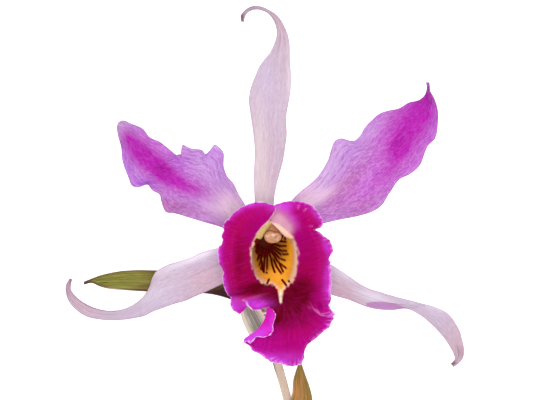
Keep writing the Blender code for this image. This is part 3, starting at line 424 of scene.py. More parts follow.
STRIPES = [
    [(273.6, 242.7), (278.4, 240.3), (286.5, 241.7)], [(274.6, 243.6), (280.3, 246), (286.5, 245.6)],
    [(275.5, 247), (281.3, 250.8), (287, 250.8)], [(275.5, 249.8), (281.3, 254.6), (288.4, 254.1)],
    [(275, 252.7), (280.3, 258.9), (285.6, 260.3)], [(274.6, 255.6), (278.4, 262.3), (286.5, 268)],
    [(280.3, 265), (283.6, 271.8)], [(273.6, 258.4), (277, 267), (281.3, 273.2)],
    [(271.2, 258.4), (272.7, 266), (275, 272.7)], [(267.4, 259.4), (267, 269.9)],
    [(266.5, 273), (266.6, 273.6)], [(264.6, 258.4), (264, 267), (263.6, 272.7)],
    [(263.6, 267), (260.3, 269.4)], [(261.5, 257), (259.8, 264), (258.2, 266.4)],
    [(262, 262), (261.4, 269), (262.6, 271)], [(258.5, 256), (256.8, 261)], [(255.5, 251), (259.3, 258.4)],
    [(254.4, 246), (259, 251)], [(254.8, 241), (256.4, 238.6), (260, 240.6), (257.6, 244), (260, 247)],
    [(280.8, 234.6), (279.4, 239.4)], [(283.2, 235.5), (281.7, 238.4), (277, 239.8)],
    [(285.6, 237.6), (285.8, 239)], [(268.9, 279.9), (266.5, 284.7)], [(282.4, 280.2), (287.6, 287)],
    [(289.4, 281.2), (289.8, 281.6)], [(270.4, 285.4), (272.4, 285.8)]]
STRIPE_NEAR = 12.5
STRIPE_REACH = 0.45
CREAM_TEAR = 0.9
TEAR_STARTS = (238, 250)
TEAR_GUARD = [(281, 297, 6, 11, 0, 1.0)]
HALO_ENDS = (266, 282)
FRILL_WIDTH = [
    (0, 0.8), (2, 1.2), (8, 1.6), (11, 1.7), (14, 0.6), (19, 0.5), (21, 1.5), (26, 1.8), (31, 2), (35, 1.6),
    (37, 0.8)]
WHITE_LINES = [
    [(242.9, 299.5), (245.6, 300), (247.3, 304.9), (251.6, 309.8)], [(258, 202.4), (263.5, 202.4)]]
# Pale streaks: mostly painted highlights on the folds and crumples of the lobes, with pale frost along the
# right margin.
PALE_STREAKS = [
    [(297.7, 309), (304.8, 311.4)], [(309.6, 302), (315.5, 310)], [(306, 305), (312, 308), (321.4, 315)],
    [(316, 309), (321.4, 315), (328.5, 315.5), (333, 312.6)], [(328.5, 304), (331, 309), (334, 313)],
    [(322, 313.6), (330, 311.8)], [(298, 210), (298.8, 205.6)], [(306, 208.6), (303.4, 211.4)],
    [(303, 229), (307, 227), (312, 226)], [(313.4, 229.8), (317, 229.2), (322.4, 226.8)],
    [(328.8, 266), (329.6, 280), (329.2, 296)], [(300, 304), (302, 306.5)], [(303.6, 302.6), (305.4, 305)],
    [(307.4, 306.4), (309.4, 308.4)], [(297, 300), (298, 302)]]
CREST_LEFT = [(275.7, 207), (275.5, 210.5), (272.5, 215), (269.2, 219.7), (262, 226), (255.8, 233.6)]
CREST_RIGHT = [(269.4, 219.9), (278.4, 228.4), (286.6, 236.2)]
TONGUE_LINE = [(280.6, 286), (280.7, 291), (280.5, 301.6)]
CREASE_LINE = [(228.7, 296.2), (240.7, 294.2), (251.6, 290.2), (262.5, 288.8)]
RIDGE_LINE = [(234, 299.5), (244, 297.2), (257, 293.6), (267, 296)]
CAP_CREASES = [
    [(266.4, 234.6), (269, 232.8), (272, 233.2), (276.4, 232.4)], [(270.6, 239.6), (271.4, 236.8)],
    [(275.6, 238.4), (276.8, 235.4)]]
THROAT_TOP = (267.0, 238.0)
THROAT_END = (281.0, 296.0)
FAN_WIDTH = 26.0
FLOW_ROUND = 3.2

# Paint, in the order of its layers: a colour, then the marks, painted fields and shares that lay it on.
PETAL_PAINT = [
    ("CCBAD6", "pale"), ("A6609C", "pink"), ("B25EBC", "bloom"), ("9E4CC4", "violet", 0.85),
    ("A030B0", "veins", 0.48), ("9C3CB4", "hair", 0.34), ("DCC2E2", "net", 0.24), ("E0CAD4", "cream", 0.85),
    ("AA14A2", "magenta", "patchy"), ("9A008C", "deep", "patchy"), ("C866C8", "net", 0.14),
    ("8A1088", "hair", 0.16), ("8B3FA0", "shade"), ("946AA2", "edge", 0.6), ("C8A8D2", "back", 0.45)]
SEPAL_PAINT = [
    ("CCBEC0", "cream"), ("BAA7C0", "lilac"), ("BE9EAA", "blush"), ("DCD6E2", "white"),
    ("9C7E9E", "lines", 0.15), ("A2829E", "fine", 0.12), ("DCD2DC", "mottle", 0.26),
    ("AC78AC", "reverse", 0.9), ("84545E", "brown"), ("A484A0", "edge", 0.4), ("B48CAC", "back", 0.5)]
LIP_PAINT = [
    ("A80088", "outer", "patchy"), ("98003E", "crimson", "patchy"), ("86004A", "streak", 0.26),
    ("CC10B0", "fine", 0.20), ("D850D0", "speck", "outer", 0.5), ("600018", "burgundy", "patchy"),
    ("D04494", "ridge_highlight", "patchy"), ("C23CD0", "violet", "patchy"), ("C40CA0", "reverse"),
    ("C23CD0", "violet", "reverse"), ("C890A8", "dusty"), ("ECC2A0", "cream"), ("F0D0BE", "milk"),
    ("E8A030", "yellow"), ("FFB414", "ochre", "patchy"), ("F0B450", "yellow", "fine", 0.25),
    ("D8BC78", "straw"), ("B88838", "squiggle", "straw", 0.7), ("F3E3D2", "tongue"), ("5E0408", "stripe"),
    ("E8B8CC", "crest_highlight"),
    ("E488DC", "pale_streaks_and_highlights", "mottle"), ("D884E2", "frill", "frost"), ("EFD2EE", "white", 0.9),
    ("C77FC4", "back", "front", 0.55), ("580204", "core_maroon_and_shade")]
LIP_FRONT_ONLY = ("stripe", "yellow", "ochre", "tongue", "pale_streaks_and_highlights", "burgundy", "straw", "crimson", "milk",
                  "ridge_highlight", "dusty", "crest_highlight")

# How strongly the lines, bands and hidden places of the paint show.
STRENGTH = {
    "hook": 0.6, "tail": 0.75, "bract_rim": 0.7, "dry_margin": 0.9, "stem_margin": 0.5,
    "crest_highlight": 0.8, "pale_streaks_and_highlights": 0.75, "crease": 0.85, "halo": 0.45, "white": 0.9, "pale_back": 0.8,
    "under_roll": 0.9, "under_cream": 0.8, "cap_base_shade": 0.75, "cap_crease": 0.7, "column_tip": 0.35,
    "stalk_top": 0.4, "stalk_foot": 0.3, "left_flank": 0.95, "right_flank": 0.6, "dry_stalk": 0.2}
GLOW_DEPTH = 1.2
GLOW_SPREAD = (1.0, 0.6, 0.8)


def colour(code):
    """A colour written as six hexadecimal digits, in the light units that the shaders use."""
    parts = [int(code[k:k + 2], 16) / 255 for k in (0, 2, 4)]
    return tuple(p / 12.92 if p <= 0.04045 else ((p + 0.055) / 1.055) ** 2.4 for p in parts) + (1.0,)


def step(low, high, value):
    """A smooth rise from 0 at low to 1 at high."""
    u = np.clip((value - low) / (high - low), 0, 1)
    return u * u * (3 - 2 * u)


def ridge(place, middle, width):
    """A smooth hump of height 1 at the middle."""
    return np.exp(-((place - middle) / width) ** 2)


def curve(knots, values, places):
    """A smooth line through the values at the knots, read off at the places."""
    knots = np.asarray(knots, float)
    values = np.asarray(values, float)
    slope = np.gradient(values, knots, axis=0)
    cell = np.clip(np.searchsorted(knots, places, side="right") - 1, 0, len(knots) - 2)
    gap = knots[cell + 1] - knots[cell]
    u = (np.asarray(places) - knots[cell]) / gap
    if values.ndim > 1:
        u, gap = u[:, None], gap[:, None]
    start = (2 * u ** 3 - 3 * u ** 2 + 1) * values[cell]
    leave = (u ** 3 - 2 * u ** 2 + u) * gap * slope[cell]
    end = (3 * u ** 2 - 2 * u ** 3) * values[cell + 1]
    enter = (u ** 3 - u ** 2) * gap * slope[cell + 1]
    return start + leave + end + enter


def profile(pairs, places):
    """A height read off a short list of (share of the length, height)."""
    pairs = np.array(pairs, float)
    return curve(pairs[:, 0], pairs[:, 1], places)


def run_of(points):
    """The length along the points up to each of them."""
    return np.concatenate([[0.0], np.cumsum(np.linalg.norm(np.diff(points, axis=0), axis=1))])


def edge(points, rows):
    """An edge sampled at rows + 1 places; each given point keeps the row nearest to it."""
    points = np.array(points, float)
    share = run_of(points)
    share /= share[-1]
    row, first = np.unique(np.round(share * rows).astype(int), return_index=True)
    places = np.interp(np.arange(rows + 1), row, share[first])
    return curve(share, points, places)


def smoothed(points, passes):
    """The edge with the teeth and notches of its middle part evened out."""
    even = points.copy()
    for _ in range(passes):
        even[1:-1] = (even[:-2] + 2 * even[1:-1] + even[2:]) / 4
    share = np.linspace(0, 1, len(points))
    keep = np.clip(np.minimum(share - EVEN_FROM, EVEN_TO - share) / EVEN_FADE, 0, 1)[:, None]
    return points + (even - points) * keep


def spread(grid):
    """Move the points out or in by their height, so that the eye still sees them in the drawn place."""
    scale = (EYE_HEIGHT - grid[..., 2]) / EYE_HEIGHT
    for axis in (0, 1):
        grid[..., axis] = EYE_OVER[axis] + (grid[..., axis] - EYE_OVER[axis]) * scale
    return grid


def unspread(points):
    """The places in the plane of the bloom where the eye sees the points."""
    scale = (EYE_HEIGHT - points[..., 2:3]) / EYE_HEIGHT
    middle = np.array(EYE_OVER)
    return np.concatenate([middle + (points[..., :2] - middle) / scale, points[..., 2:3]], axis=-1)


def pixels(grid):
    """Where the eye sees the points, in pixels of the picture."""
    return CENTRE_PIXEL[0] + grid[..., 0] / PIXEL, CENTRE_PIXEL[1] - grid[..., 1] / PIXEL


def clear_notch(flat, steep, bottom):
    """The blade's points that would fill a torn notch, squeezed back against its steep side."""
    floor = np.interp(flat[..., 0], [x for x, y in bottom], [y for x, y in bottom])
    within = (flat[..., 0] < steep) & (flat[..., 0] > bottom[0][0]) & (flat[..., 1] > floor)
    squeezed = steep + (flat[..., 0] - steep) * NOTCH_SQUEEZE
    return np.stack([np.where(within, squeezed, flat[..., 0]), flat[..., 1]], axis=-1)


class Sheet:
    """A blade's middle surface with what the painting and relief need at each point."""

    def __init__(self, edges, rise, mesh, relief, roll=LEVEL, cup=LEVEL, ruffle=(0, 1, 0), even=0.0,
                 notch=None):
        rows, across = mesh
        a, b = edge(edges[0], rows), edge(edges[1], rows)
        t = np.linspace(0, 1, rows + 1)
        level = np.linspace(-1, 1, across + 1)
        s = np.sin(level * math.pi / 2) * RIM_CROWDING + level * (1 - RIM_CROWDING)
        mix = ((s + 1) / 2)[None, :, None]
        passes = int(even * rows * rows)
        even_a, even_b = smoothed(a, passes), smoothed(b, passes)
        flat = even_a[:, None, :] * (1 - mix) + even_b[:, None, :] * mix
        flat += (a - even_a)[:, None, :] * (1 - mix) ** 4 + (b - even_b)[:, None, :] * mix ** 4
        if notch:
            flat = clear_notch(flat, *notch)
        tilt = profile(roll, t)[:, None] * s[None, :]
        dish = profile(cup, t)[:, None] * (s[None, :] ** 2 - DISH_LEVEL)
        height, count, phase = ruffle
        wave = np.sin(2 * math.pi * count * t[:, None] + phase + 1.1 * s[None, :])
        fade = np.sin(math.pi * np.clip(t * 1.02, 0, 1))[:, None] ** 0.7
        z = profile(rise, t)[:, None] + tilt + dish + height * wave * fade * np.abs(s[None, :]) ** 2.2
        self.t = np.broadcast_to(t[:, None], z.shape)
        self.s = np.broadcast_to(s[None, :], z.shape)
        half = np.linalg.norm(even_b - even_a, axis=1)[:, None] / 2
        self.along = np.broadcast_to(run_of((a + b) / 2)[:, None], z.shape)
        ends = np.minimum(self.along, self.along.max() - self.along)
        self.rim = np.maximum(np.minimum((1 - np.abs(self.s)) * half, ends), 0)
        self.across = self.s * half.max()
        self.flow = np.stack([self.along, self.across, np.zeros_like(self.along)], axis=-1)
        self.zero = np.zeros_like(self.t)
        self.px, self.py = pixels(flat)
        z = z + relief(self)
        self.grid = spread(np.concatenate([flat, z[..., None]], axis=2))


def patches(px, py, spots):
    """Soft oval patches of paint added up, from 0 to 1."""
    total = np.zeros(px.shape)
    for x, y, along, over, turn, strength in spots:
        c, s = math.cos(math.radians(turn)), math.sin(math.radians(turn))
        dx, dy = px - x, y - py
        u, v = (dx * c + dy * s) / along, (dy * c - dx * s) / over
        total += strength * np.exp(-(u * u + v * v))
    return np.clip(total, 0, 1)


def line_distance(px, py, line):
    """How far each point is from a bent line, in pixels."""
    best = np.full(px.shape, FAR)
    for (ax, ay), (bx, by) in zip(line[:-1], line[1:]):
        dx, dy = bx - ax, by - ay
        u = np.clip(((px - ax) * dx + (py - ay) * dy) / (dx * dx + dy * dy), 0, 1)
        best = np.minimum(best, np.hypot(px - ax - u * dx, py - ay - u * dy))
    return best


def strokes(px, py, lines, width, fade):
    """Painted lines of that half-width, soft over the fade."""
    best = np.full(px.shape, FAR)
    for line in lines:
        best = np.minimum(best, line_distance(px, py, line))
    return 1 - step(width, width + fade, best)


def inside(px, py, outline, fade):
    """1 inside a closed outline and 0 outside, soft over the fade."""
    hit = np.zeros(px.shape, bool)
    closed = list(outline) + [outline[0]]
    for (ax, ay), (bx, by) in zip(closed[:-1], closed[1:]):
        if ay != by:
            hit ^= ((ay > py) != (by > py)) & (px < (bx - ax) * (py - ay) / (by - ay) + ax)
    far = line_distance(px, py, closed)
    return step(-fade, fade, np.where(hit, far, -far))


def ripples(px, py, scale, seed):
    """A smooth, uneven field between about -1 and 1, made of a few crossing waves."""
    rng = np.random.default_rng(seed)
    total = np.zeros(px.shape)
    for _ in range(RIPPLE_WAVES):
        turn, size, phase = rng.uniform(0, 2 * math.pi), rng.uniform(0.7, 1.6), rng.uniform(0, 2 * math.pi)
        total += np.sin((px * math.cos(turn) + py * math.sin(turn)) * 2 * math.pi / (scale * size) + phase)
    return total / RIPPLE_SPAN


def normals(grid):
    """The direction across the sheet at each point of the grid, on the side that faces up."""
    cross = np.cross(np.gradient(grid, axis=0), np.gradient(grid, axis=1))
    cross /= np.maximum(np.linalg.norm(cross, axis=2, keepdims=True), TINY)
    return cross if cross[..., 2].mean() > 0 else -cross


def to_world(points):
    return (points + np.array([BOX_SHIFT[0], BOX_SHIFT[1], BLOOM_HEIGHT])) * MM


def make_piece(name, node, points, faces, fields, surface):
    """A named smooth mesh with its painted fields, standing for its solid."""
    place = to_world(np.asarray(points, float))
    mesh = bpy.data.meshes.new(name)
    mesh.from_pydata(place.tolist(), [], [tuple(face) for face in faces])
    mesh.validate()
    for label, values in fields.items():
        values = np.asarray(values, np.float32)
        kind, key = ("FLOAT_VECTOR", "vector") if values.ndim == 2 else ("FLOAT", "value")
        mesh.attributes.new(label, kind, "POINT").data.foreach_set(key, values.ravel())
    mesh.polygons.foreach_set("use_smooth", [True] * len(mesh.polygons))
    mesh.materials.append(surface)
    piece = bpy.data.objects.new(name, mesh)
    bpy.context.scene.collection.objects.link(piece)
    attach(piece, "root")
    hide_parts(node)


def sheet_piece(name, node, grid, thick, front, back, surface):
    """A thin closed sheet: front and back faces joined round the rim."""
    rows, cols = grid.shape[:2]
    lean = normals(grid) * thick[..., None] / 2
    points = np.concatenate([(grid + lean).reshape(-1, 3), (grid - lean).reshape(-1, 3)])
    ids = np.arange(rows * cols).reshape(rows, cols)
    under = rows * cols
    a, b, c, d = ids[:-1, :-1], ids[:-1, 1:], ids[1:, :-1], ids[1:, 1:]
    top = np.stack([a, b, d, c], axis=-1).reshape(-1, 4)
    rim = np.concatenate([ids[0, :-1], ids[:-1, -1], ids[-1, :0:-1], ids[:0:-1, 0]])
    after = np.roll(rim, -1)
    sides = np.stack([after, rim, rim + under, after + under], axis=-1)
    faces = np.concatenate([top, top[:, ::-1] + under, sides])
    first, second, third = (points[top[:, k]] for k in (0, 1, 2))
    facing = np.cross(second - first, third - first)
    if (facing * lean.reshape(-1, 3)[top[:, 0]]).sum() < 0:
        faces = faces[:, ::-1]
    fields = {}
    for label, above in front.items():
        pair = (above, back.get(label, above))
        fields[label] = np.concatenate([v.reshape((under,) + v.shape[2:]) for v in pair])
    fields["back"] = np.concatenate([np.zeros(under), np.ones(under)])
    make_piece(name, node, points, faces, fields, surface)


def blade_piece(node, sheet, thickness, fields, back, surface):
    """A blade for a solid, thinner towards its rim; fields named in back are bare on its reverse."""
    middle, thin, reach = thickness
    thick = thin + (middle - thin) * step(0.0, reach, sheet.rim)
    fields["flow"] = sheet.flow
    bare = {name: sheet.zero for name in back}
    sheet_piece(node + "_blade", node, sheet.grid, thick, fields, bare, surface)


def tube_rings(rows, mesh, shape):
    """Rings round a bent line; the shape swells or pinches the radius by share and turn."""
    count, sides = mesh
    rows = spread(np.array(rows, float))
    length = run_of(rows[:, :3])
    places = np.linspace(0, length[-1], count + 1)
    line = curve(length, rows, places)
    along = np.gradient(line[:, :3], axis=0)
    along /= np.linalg.norm(along, axis=1, keepdims=True)
    out = np.cross(along, np.array([1.0, 0.0, 0.0]))
    out /= np.linalg.norm(out, axis=1, keepdims=True)
    other = np.cross(along, out)
    turn = np.arange(sides) * 2 * math.pi / sides
    t, a = np.meshgrid(places / length[-1], turn, indexing="ij")
    radius = line[:, 3:4] * shape(t, a)
    ring = out[:, None, :] * np.cos(turn)[None, :, None] + other[:, None, :] * np.sin(turn)[None, :, None]
    return line[:, None, :3] + ring * radius[..., None], t, a, places


def tube_piece(name, node, rings, fields, surface):
    """A closed round piece through the rings, with an end point at each end."""
    count, sides = rings.shape[:2]
    ends = np.array([rings[0].mean(axis=0), rings[-1].mean(axis=0)])
    points = np.concatenate([rings.reshape(-1, 3), ends])
    ids = np.arange(count * sides).reshape(count, sides)
    a, b = ids[:-1], np.roll(ids, -1, axis=1)[:-1]
    c, d = ids[1:], np.roll(ids, -1, axis=1)[1:]
    faces = np.stack([a, c, d, b], axis=-1).reshape(-1, 4).tolist()
    first, last = ids[0], ids[-1]
    faces += [(int(first[j]), int(first[(j + 1) % sides]), count * sides) for j in range(sides)]
    faces += [(int(last[(j + 1) % sides]), int(last[j]), count * sides + 1) for j in range(sides)]
    full = {}
    for label, values in fields.items():
        flat = values.reshape((-1,) + values.shape[2:])
        full[label] = np.concatenate([flat, values[:1].mean(axis=1), values[-1:].mean(axis=1)])
    middle = rings[count // 2]
    face_way = np.cross(rings[count // 2 + 1][0] - middle[0], middle[1] - middle[0])
    if np.dot(face_way, middle[0] - middle.mean(axis=0)) < 0:
        faces = [tuple(reversed(face)) for face in faces]
    make_piece(name, node, points, faces, full, surface)


class Surface:
    """A node material built up in layers of colour, then relief."""

    def __init__(self, name, base, rough, shine):
        self.made = bpy.data.materials.new(name)
        self.made.use_nodes = True
        self.tree = self.made.node_tree
        self.shader = self.tree.nodes["Principled BSDF"]
        self.set("Roughness", rough)
        self.set("Specular IOR Level", shine)
        self.colour = colour(base)
        self.height = None
        self.marks = {}

    def set(self, label, value):
        self.shader.inputs[label].default_value = value

    def node(self, kind, **values):
        made = self.tree.nodes.new(kind)
        for label, value in values.items():
            setattr(made, label, value)
        return made

    def join(self, source, target):
        if hasattr(source, "is_output"):
            self.tree.links.new(source, target)
        else:
            target.default_value = source

    def math(self, kind, a, b):
        made = self.node("ShaderNodeMath", operation=kind)
        self.join(a, made.inputs[0])
        self.join(b, made.inputs[1])
        return made.outputs[0]

    def field(self, name):
        return self.node("ShaderNodeAttribute", attribute_name=name).outputs["Fac"]

    def flow(self, stretch, shift):
        """The painted coordinates of a piece, scaled on each axis."""
        made = self.node("ShaderNodeVectorMath", operation="MULTIPLY_ADD")
        self.join(self.node("ShaderNodeAttribute", attribute_name="flow").outputs["Vector"], made.inputs[0])
        self.join(stretch, made.inputs[1])
        self.join((shift, shift, shift), made.inputs[2])
        return made.outputs["Vector"]

    def noise(self, stretch, detail, rough, twist, shift=0.0):
        """Noise stretched along and across the piece."""
        made = self.node("ShaderNodeTexNoise")
        values = {"Scale": 1.0, "Detail": detail, "Roughness": rough, "Distortion": twist}
        for label, value in values.items():
            made.inputs[label].default_value = value
        self.join(self.flow(stretch, shift), made.inputs["Vector"])
        return made.outputs["Fac"]

    def cells(self, stretch):
        """Distance to the walls of an uneven net of cells."""
        made = self.node("ShaderNodeTexVoronoi", feature="DISTANCE_TO_EDGE")
        made.inputs["Scale"].default_value = 1.0
        self.join(self.flow(stretch, 0.0), made.inputs["Vector"])
        return made.outputs["Distance"]

    def mark(self, name, value, low, high, start=0.0, end=1.0):
        """Name a mark that goes smoothly from start to end while the value goes from low to high."""
        made = self.node("ShaderNodeMapRange", interpolation_type="SMOOTHSTEP")
        self.join(value, made.inputs["Value"])
        for label, number in (("From Min", low), ("From Max", high), ("To Min", start), ("To Max", end)):
            made.inputs[label].default_value = number
        self.marks[name] = made.outputs["Result"]

    def part(self, what):
        """A mark or a painted field by its name, or a plain share."""
        if not isinstance(what, str):
            return what
        return self.marks[what] if what in self.marks else self.field(what)

    def paint(self, layers):
        """Lay each colour over the ones before, as much as the product of its parts."""
        for code, *parts in layers:
            amount = self.part(parts[0])
            for more in parts[1:]:
                amount = self.math("MULTIPLY", amount, self.part(more))
            mix = self.node("ShaderNodeMix", data_type="RGBA")
            self.join(amount, mix.inputs[0])
            self.join(self.colour, mix.inputs[6])
            self.join(colour(code), mix.inputs[7])
            self.colour = mix.outputs[2]

    def raise_by(self, **heights):
        """Add relief: a height in millimetres for each mark."""
        for name, height in heights.items():
            part = self.math("MULTIPLY", self.marks[name], height * MM)
            self.height = part if self.height is None else self.math("ADD", self.height, part)

    def finish(self, glow=0.0):
        self.join(self.colour, self.shader.inputs["Base Color"])
        if self.height is not None:
            bump = self.node("ShaderNodeBump")
            bump.inputs["Strength"].default_value = 1.0
            bump.inputs["Distance"].default_value = 1.0
            self.join(self.height, bump.inputs["Height"])
            self.join(bump.outputs["Normal"], self.shader.inputs["Normal"])
        if glow:
            self.set("Subsurface Weight", glow)
            self.set("Subsurface Scale", GLOW_DEPTH * MM)
            self.set("Subsurface Radius", GLOW_SPREAD)
        return self.made


def petal_surface():
    skin = Surface("petal_skin", "AE80C2", rough=0.62, shine=0.06)
    skin.mark("patchy", skin.noise((0.35, 0.7, 1), 4.0, 0.6, 0.4), 0.25, 0.75, 0.8, 1.15)
    skin.mark("veins", skin.noise((0.06, 1.25, 1), 3.0, 0.6, 0.35), 0.50, 0.66)
    skin.mark("hair", skin.noise((0.35, 3.4, 1), 2.0, 0.6, 0.5, 7.0), 0.52, 0.66)
    skin.mark("net", skin.cells((0.32, 1.7, 1)), 0.02, 0.18, 1.0, 0.0)
    skin.mark("edge", skin.field("rim"), 0.0, 0.5, 1.0, 0.0)
    skin.paint(PETAL_PAINT)
    skin.raise_by(veins=-0.10, net=-0.06, hair=0.04)
    return skin.finish(glow=0.16)


def sepal_surface():
    skin = Surface("sepal_skin", "BAA6B6", rough=0.62, shine=0.08)
    skin.mark("lines", skin.noise((0.035, 1.6, 1), 2.0, 0.5, 0.2), 0.42, 0.66)
    skin.mark("fine", skin.noise((0.16, 5.0, 1), 2.0, 0.6, 0.3, 3.0), 0.45, 0.65)
    skin.mark("mottle", skin.noise((0.5, 1.2, 1), 4.0, 0.6, 0.5, 11.0), 0.35, 0.7)
    skin.mark("edge", skin.field("rim"), 0.0, 0.7, 1.0, 0.0)
    skin.paint(SEPAL_PAINT)
    skin.raise_by(lines=-0.06, fine=0.03)
    return skin.finish(glow=0.16)


def lip_surface():
    skin = Surface("lip_skin", "A0006C", rough=0.55, shine=0.03)
    skin.set("Sheen Weight", 0.02)
    skin.set("Sheen Roughness", 0.4)
    skin.set("Sheen Tint", colour("E0009A"))
    skin.marks["mottle"] = skin.noise((0.10, 0.25, 1), 4.0, 0.6, 0.6)
    skin.mark("patchy", skin.marks["mottle"], 0.3, 0.7, 0.7, 1.15)
    skin.mark("streak", skin.noise((0.018, 0.45, 1), 3.0, 0.6, 0.3), 0.46, 0.66)
    skin.mark("fine", skin.noise((0.05, 1.2, 1), 2.0, 0.6, 0.4, 5.0), 0.45, 0.68)
    skin.mark("speck", skin.noise((0.45, 1.4, 1), 3.0, 0.7, 0.6, 8.0), 0.52, 0.74)
    skin.mark("squiggle", skin.noise((0.30, 0.10, 1), 3.0, 0.6, 1.2, 3.0), 0.52, 0.66)
    skin.mark("frost", skin.noise((0.12, 0.8, 1), 4.0, 0.75, 0.6, 2.0), 0.38, 0.62, 0.15, 1.0)
    skin.marks["front"] = skin.math("SUBTRACT", 1.0, skin.field("reverse"))
    skin.paint(LIP_PAINT)
    skin.raise_by(streak=-0.07, fine=0.025, mottle=0.14, speck=0.06)
    return skin.finish(glow=0.08)


def waxy_surface(name, base, dark, light):
    skin = Surface(name, base, rough=0.45, shine=0.2)
    skin.mark("spots", skin.noise((1.1, 1.1, 1.1), 3.0, 0.6, 0.3), 0.4, 0.7)
    # The glint is a painted highlight; the flush is partly the part's own colour and partly painted shade,
    # and the dark heart is the throat's maroon with painted shade.
    skin.paint([(light, "spots", 0.7), (dark, "flush_and_shade"), ("F8E8DC", "glint"), ("600204", "core_maroon_and_shade")])
    skin.raise_by(spots=0.25)
    return skin.finish(glow=0.15)


def stalk_surface(name, base, dark, light):
    skin = Surface(name, base, rough=0.62, shine=0.25)
    skin.mark("grain", skin.noise((0.06, 2.2, 1), 3.0, 0.6, 0.2), 0.35, 0.68)
    skin.mark("fleck", skin.noise((0.5, 5.0, 1), 3.0, 0.7, 0.4, 4.0), 0.5, 0.7)
    skin.paint([(light, "grain", 0.6), (dark, "fleck", 0.5), (dark, "shade"), ("CDBBA6", "pale"),
                ("4C2418", "brown"), ("560004", "core_maroon_and_shade")])
    skin.raise_by(grain=0.12, fleck=-0.05)
    return skin.finish()


def bract_surface(name, base, dark, light, edge_shade, stripe):
    skin = Surface(name, base, rough=0.55, shine=0.3)
    skin.mark("lines", skin.noise((0.03, 2.4, 1), 2.0, 0.6, 0.15), 0.40, 0.62)
    skin.mark("fleck", skin.noise((0.25, 1.2, 1), 4.0, 0.65, 0.5, 6.0), 0.42, 0.7)
    skin.paint([(light, "fleck", 0.5), (dark, "lines", stripe), (edge_shade, "brown"), ("3C1018", "wedge"),
                ("E4D6C2", "pale")])
    skin.raise_by(lines=-0.14, fleck=0.05)
    return skin.finish(glow=0.05)


def petal_relief(seed, phase):
    """A faint keel, a frilled rim, broad swells and fine veins, gone at the tip."""
    def relief(sheet):
        high = PETAL_RELIEF
        length = step(0.0, 0.1, sheet.t) * (1 - step(0.7, 0.98, sheet.t))
        keel = high["keel"] * ridge(sheet.s, 0, 0.09) * length
        sides = np.abs(sheet.s) ** 3
        sway = 2.0 * np.sin(sheet.along * 0.23)
        frill = high["frill"] * sides * np.sin(sheet.along * 1.25 + phase + sway)
        fine = high["fine"] * sides * np.sin(sheet.along * 3.1 + phase * 2)
        swell = high["swell"] * ripples(sheet.px, sheet.py, 58, seed) * step(0.1, 0.4, sheet.t)
        veins = high["veins"] * np.sin(sheet.across * 4.2 + 0.6 * np.sin(sheet.along * 0.2))
        return (keel + frill + fine + swell + veins) * (1 - step(0.9, 1.0, sheet.t))
    return relief


def sepal_relief(seed, crease=NO_CREASE):
    """A keel, veins and broad swells, with a long crease, gone at both ends."""
    def relief(sheet):
        keel = SEPAL_RELIEF["keel"] * ridge(sheet.s, 0, 0.10)
        veins = SEPAL_RELIEF["veins"] * np.sin(sheet.s * 26 + 0.5 * np.sin(sheet.along * 0.15))
        swell = SEPAL_RELIEF["swell"] * ripples(sheet.px, sheet.py, 46, seed)
        where, height, width, start, end = crease
        grow = step(start, start + CREASE_FADE, sheet.t) * (1 - step(end - CREASE_FADE, end, sheet.t))
        line = height * ridge(sheet.s, where, width) * grow
        return (keel + veins + swell + line) * step(0, 0.06, sheet.t) * (1 - step(0.9, 1.0, sheet.t))
    return relief


def bract_relief(sheet):
    ribs = BRACT_RELIEF["ribs"] * np.sin(sheet.s * 20) + BRACT_RELIEF["keel"] * ridge(sheet.s, 0, 0.12)
    return ribs + BRACT_RELIEF["swell"] * ripples(sheet.px, sheet.py, 40, 31)


def blade_fields(sheet, spots):
    fields = {name: patches(sheet.px, sheet.py, places) for name, places in spots.items()}
    fields["rim"] = sheet.rim
    return fields


def add_sepals():
    skin = sepal_surface()
    dorsal = Sheet((DORSAL_LEFT, DORSAL_RIGHT), DORSAL_RISE, SEPAL_MESH, sepal_relief(3, DORSAL_CREASE),
                   cup=DORSAL_CUP)
    left = Sheet((SEPAL_LEFT_UPPER, SEPAL_LEFT_LOWER), SEPAL_LEFT_RISE, SEPAL_MESH, sepal_relief(5),
                 SEPAL_LEFT_ROLL, SEPAL_LEFT_CUP)
    right = Sheet((SEPAL_RIGHT_UPPER, SEPAL_RIGHT_LOWER), SEPAL_RIGHT_RISE, SEPAL_MESH,
                  sepal_relief(7, SEPAL_RIGHT_CREASE), SEPAL_RIGHT_ROLL, SEPAL_RIGHT_CUP)
    for node, sheet in (("dorsal_sepal", dorsal), ("sepal_left", left), ("sepal_right", right)):
        fields = blade_fields(sheet, SEPAL_SPOTS)
        fields["reverse"] = sheet.zero
        if sheet is right:
            fields["reverse"] = inside(sheet.px, sheet.py, REVERSE_BAND, 0.7)
        if sheet is left:
            hook = STRENGTH["hook"] * strokes(sheet.px, sheet.py, [HOOK_LINE], 0.3, 1.0)
            fields["brown"] = np.maximum(fields["brown"], hook)
            tail = step(0.55, 0.62, sheet.t) * (1 - step(-0.95, -0.55, sheet.s))
            fields["reverse"] = STRENGTH["tail"] * tail
        blade_piece(node, sheet, SEPAL_THICKNESS, fields, ["reverse"], skin)


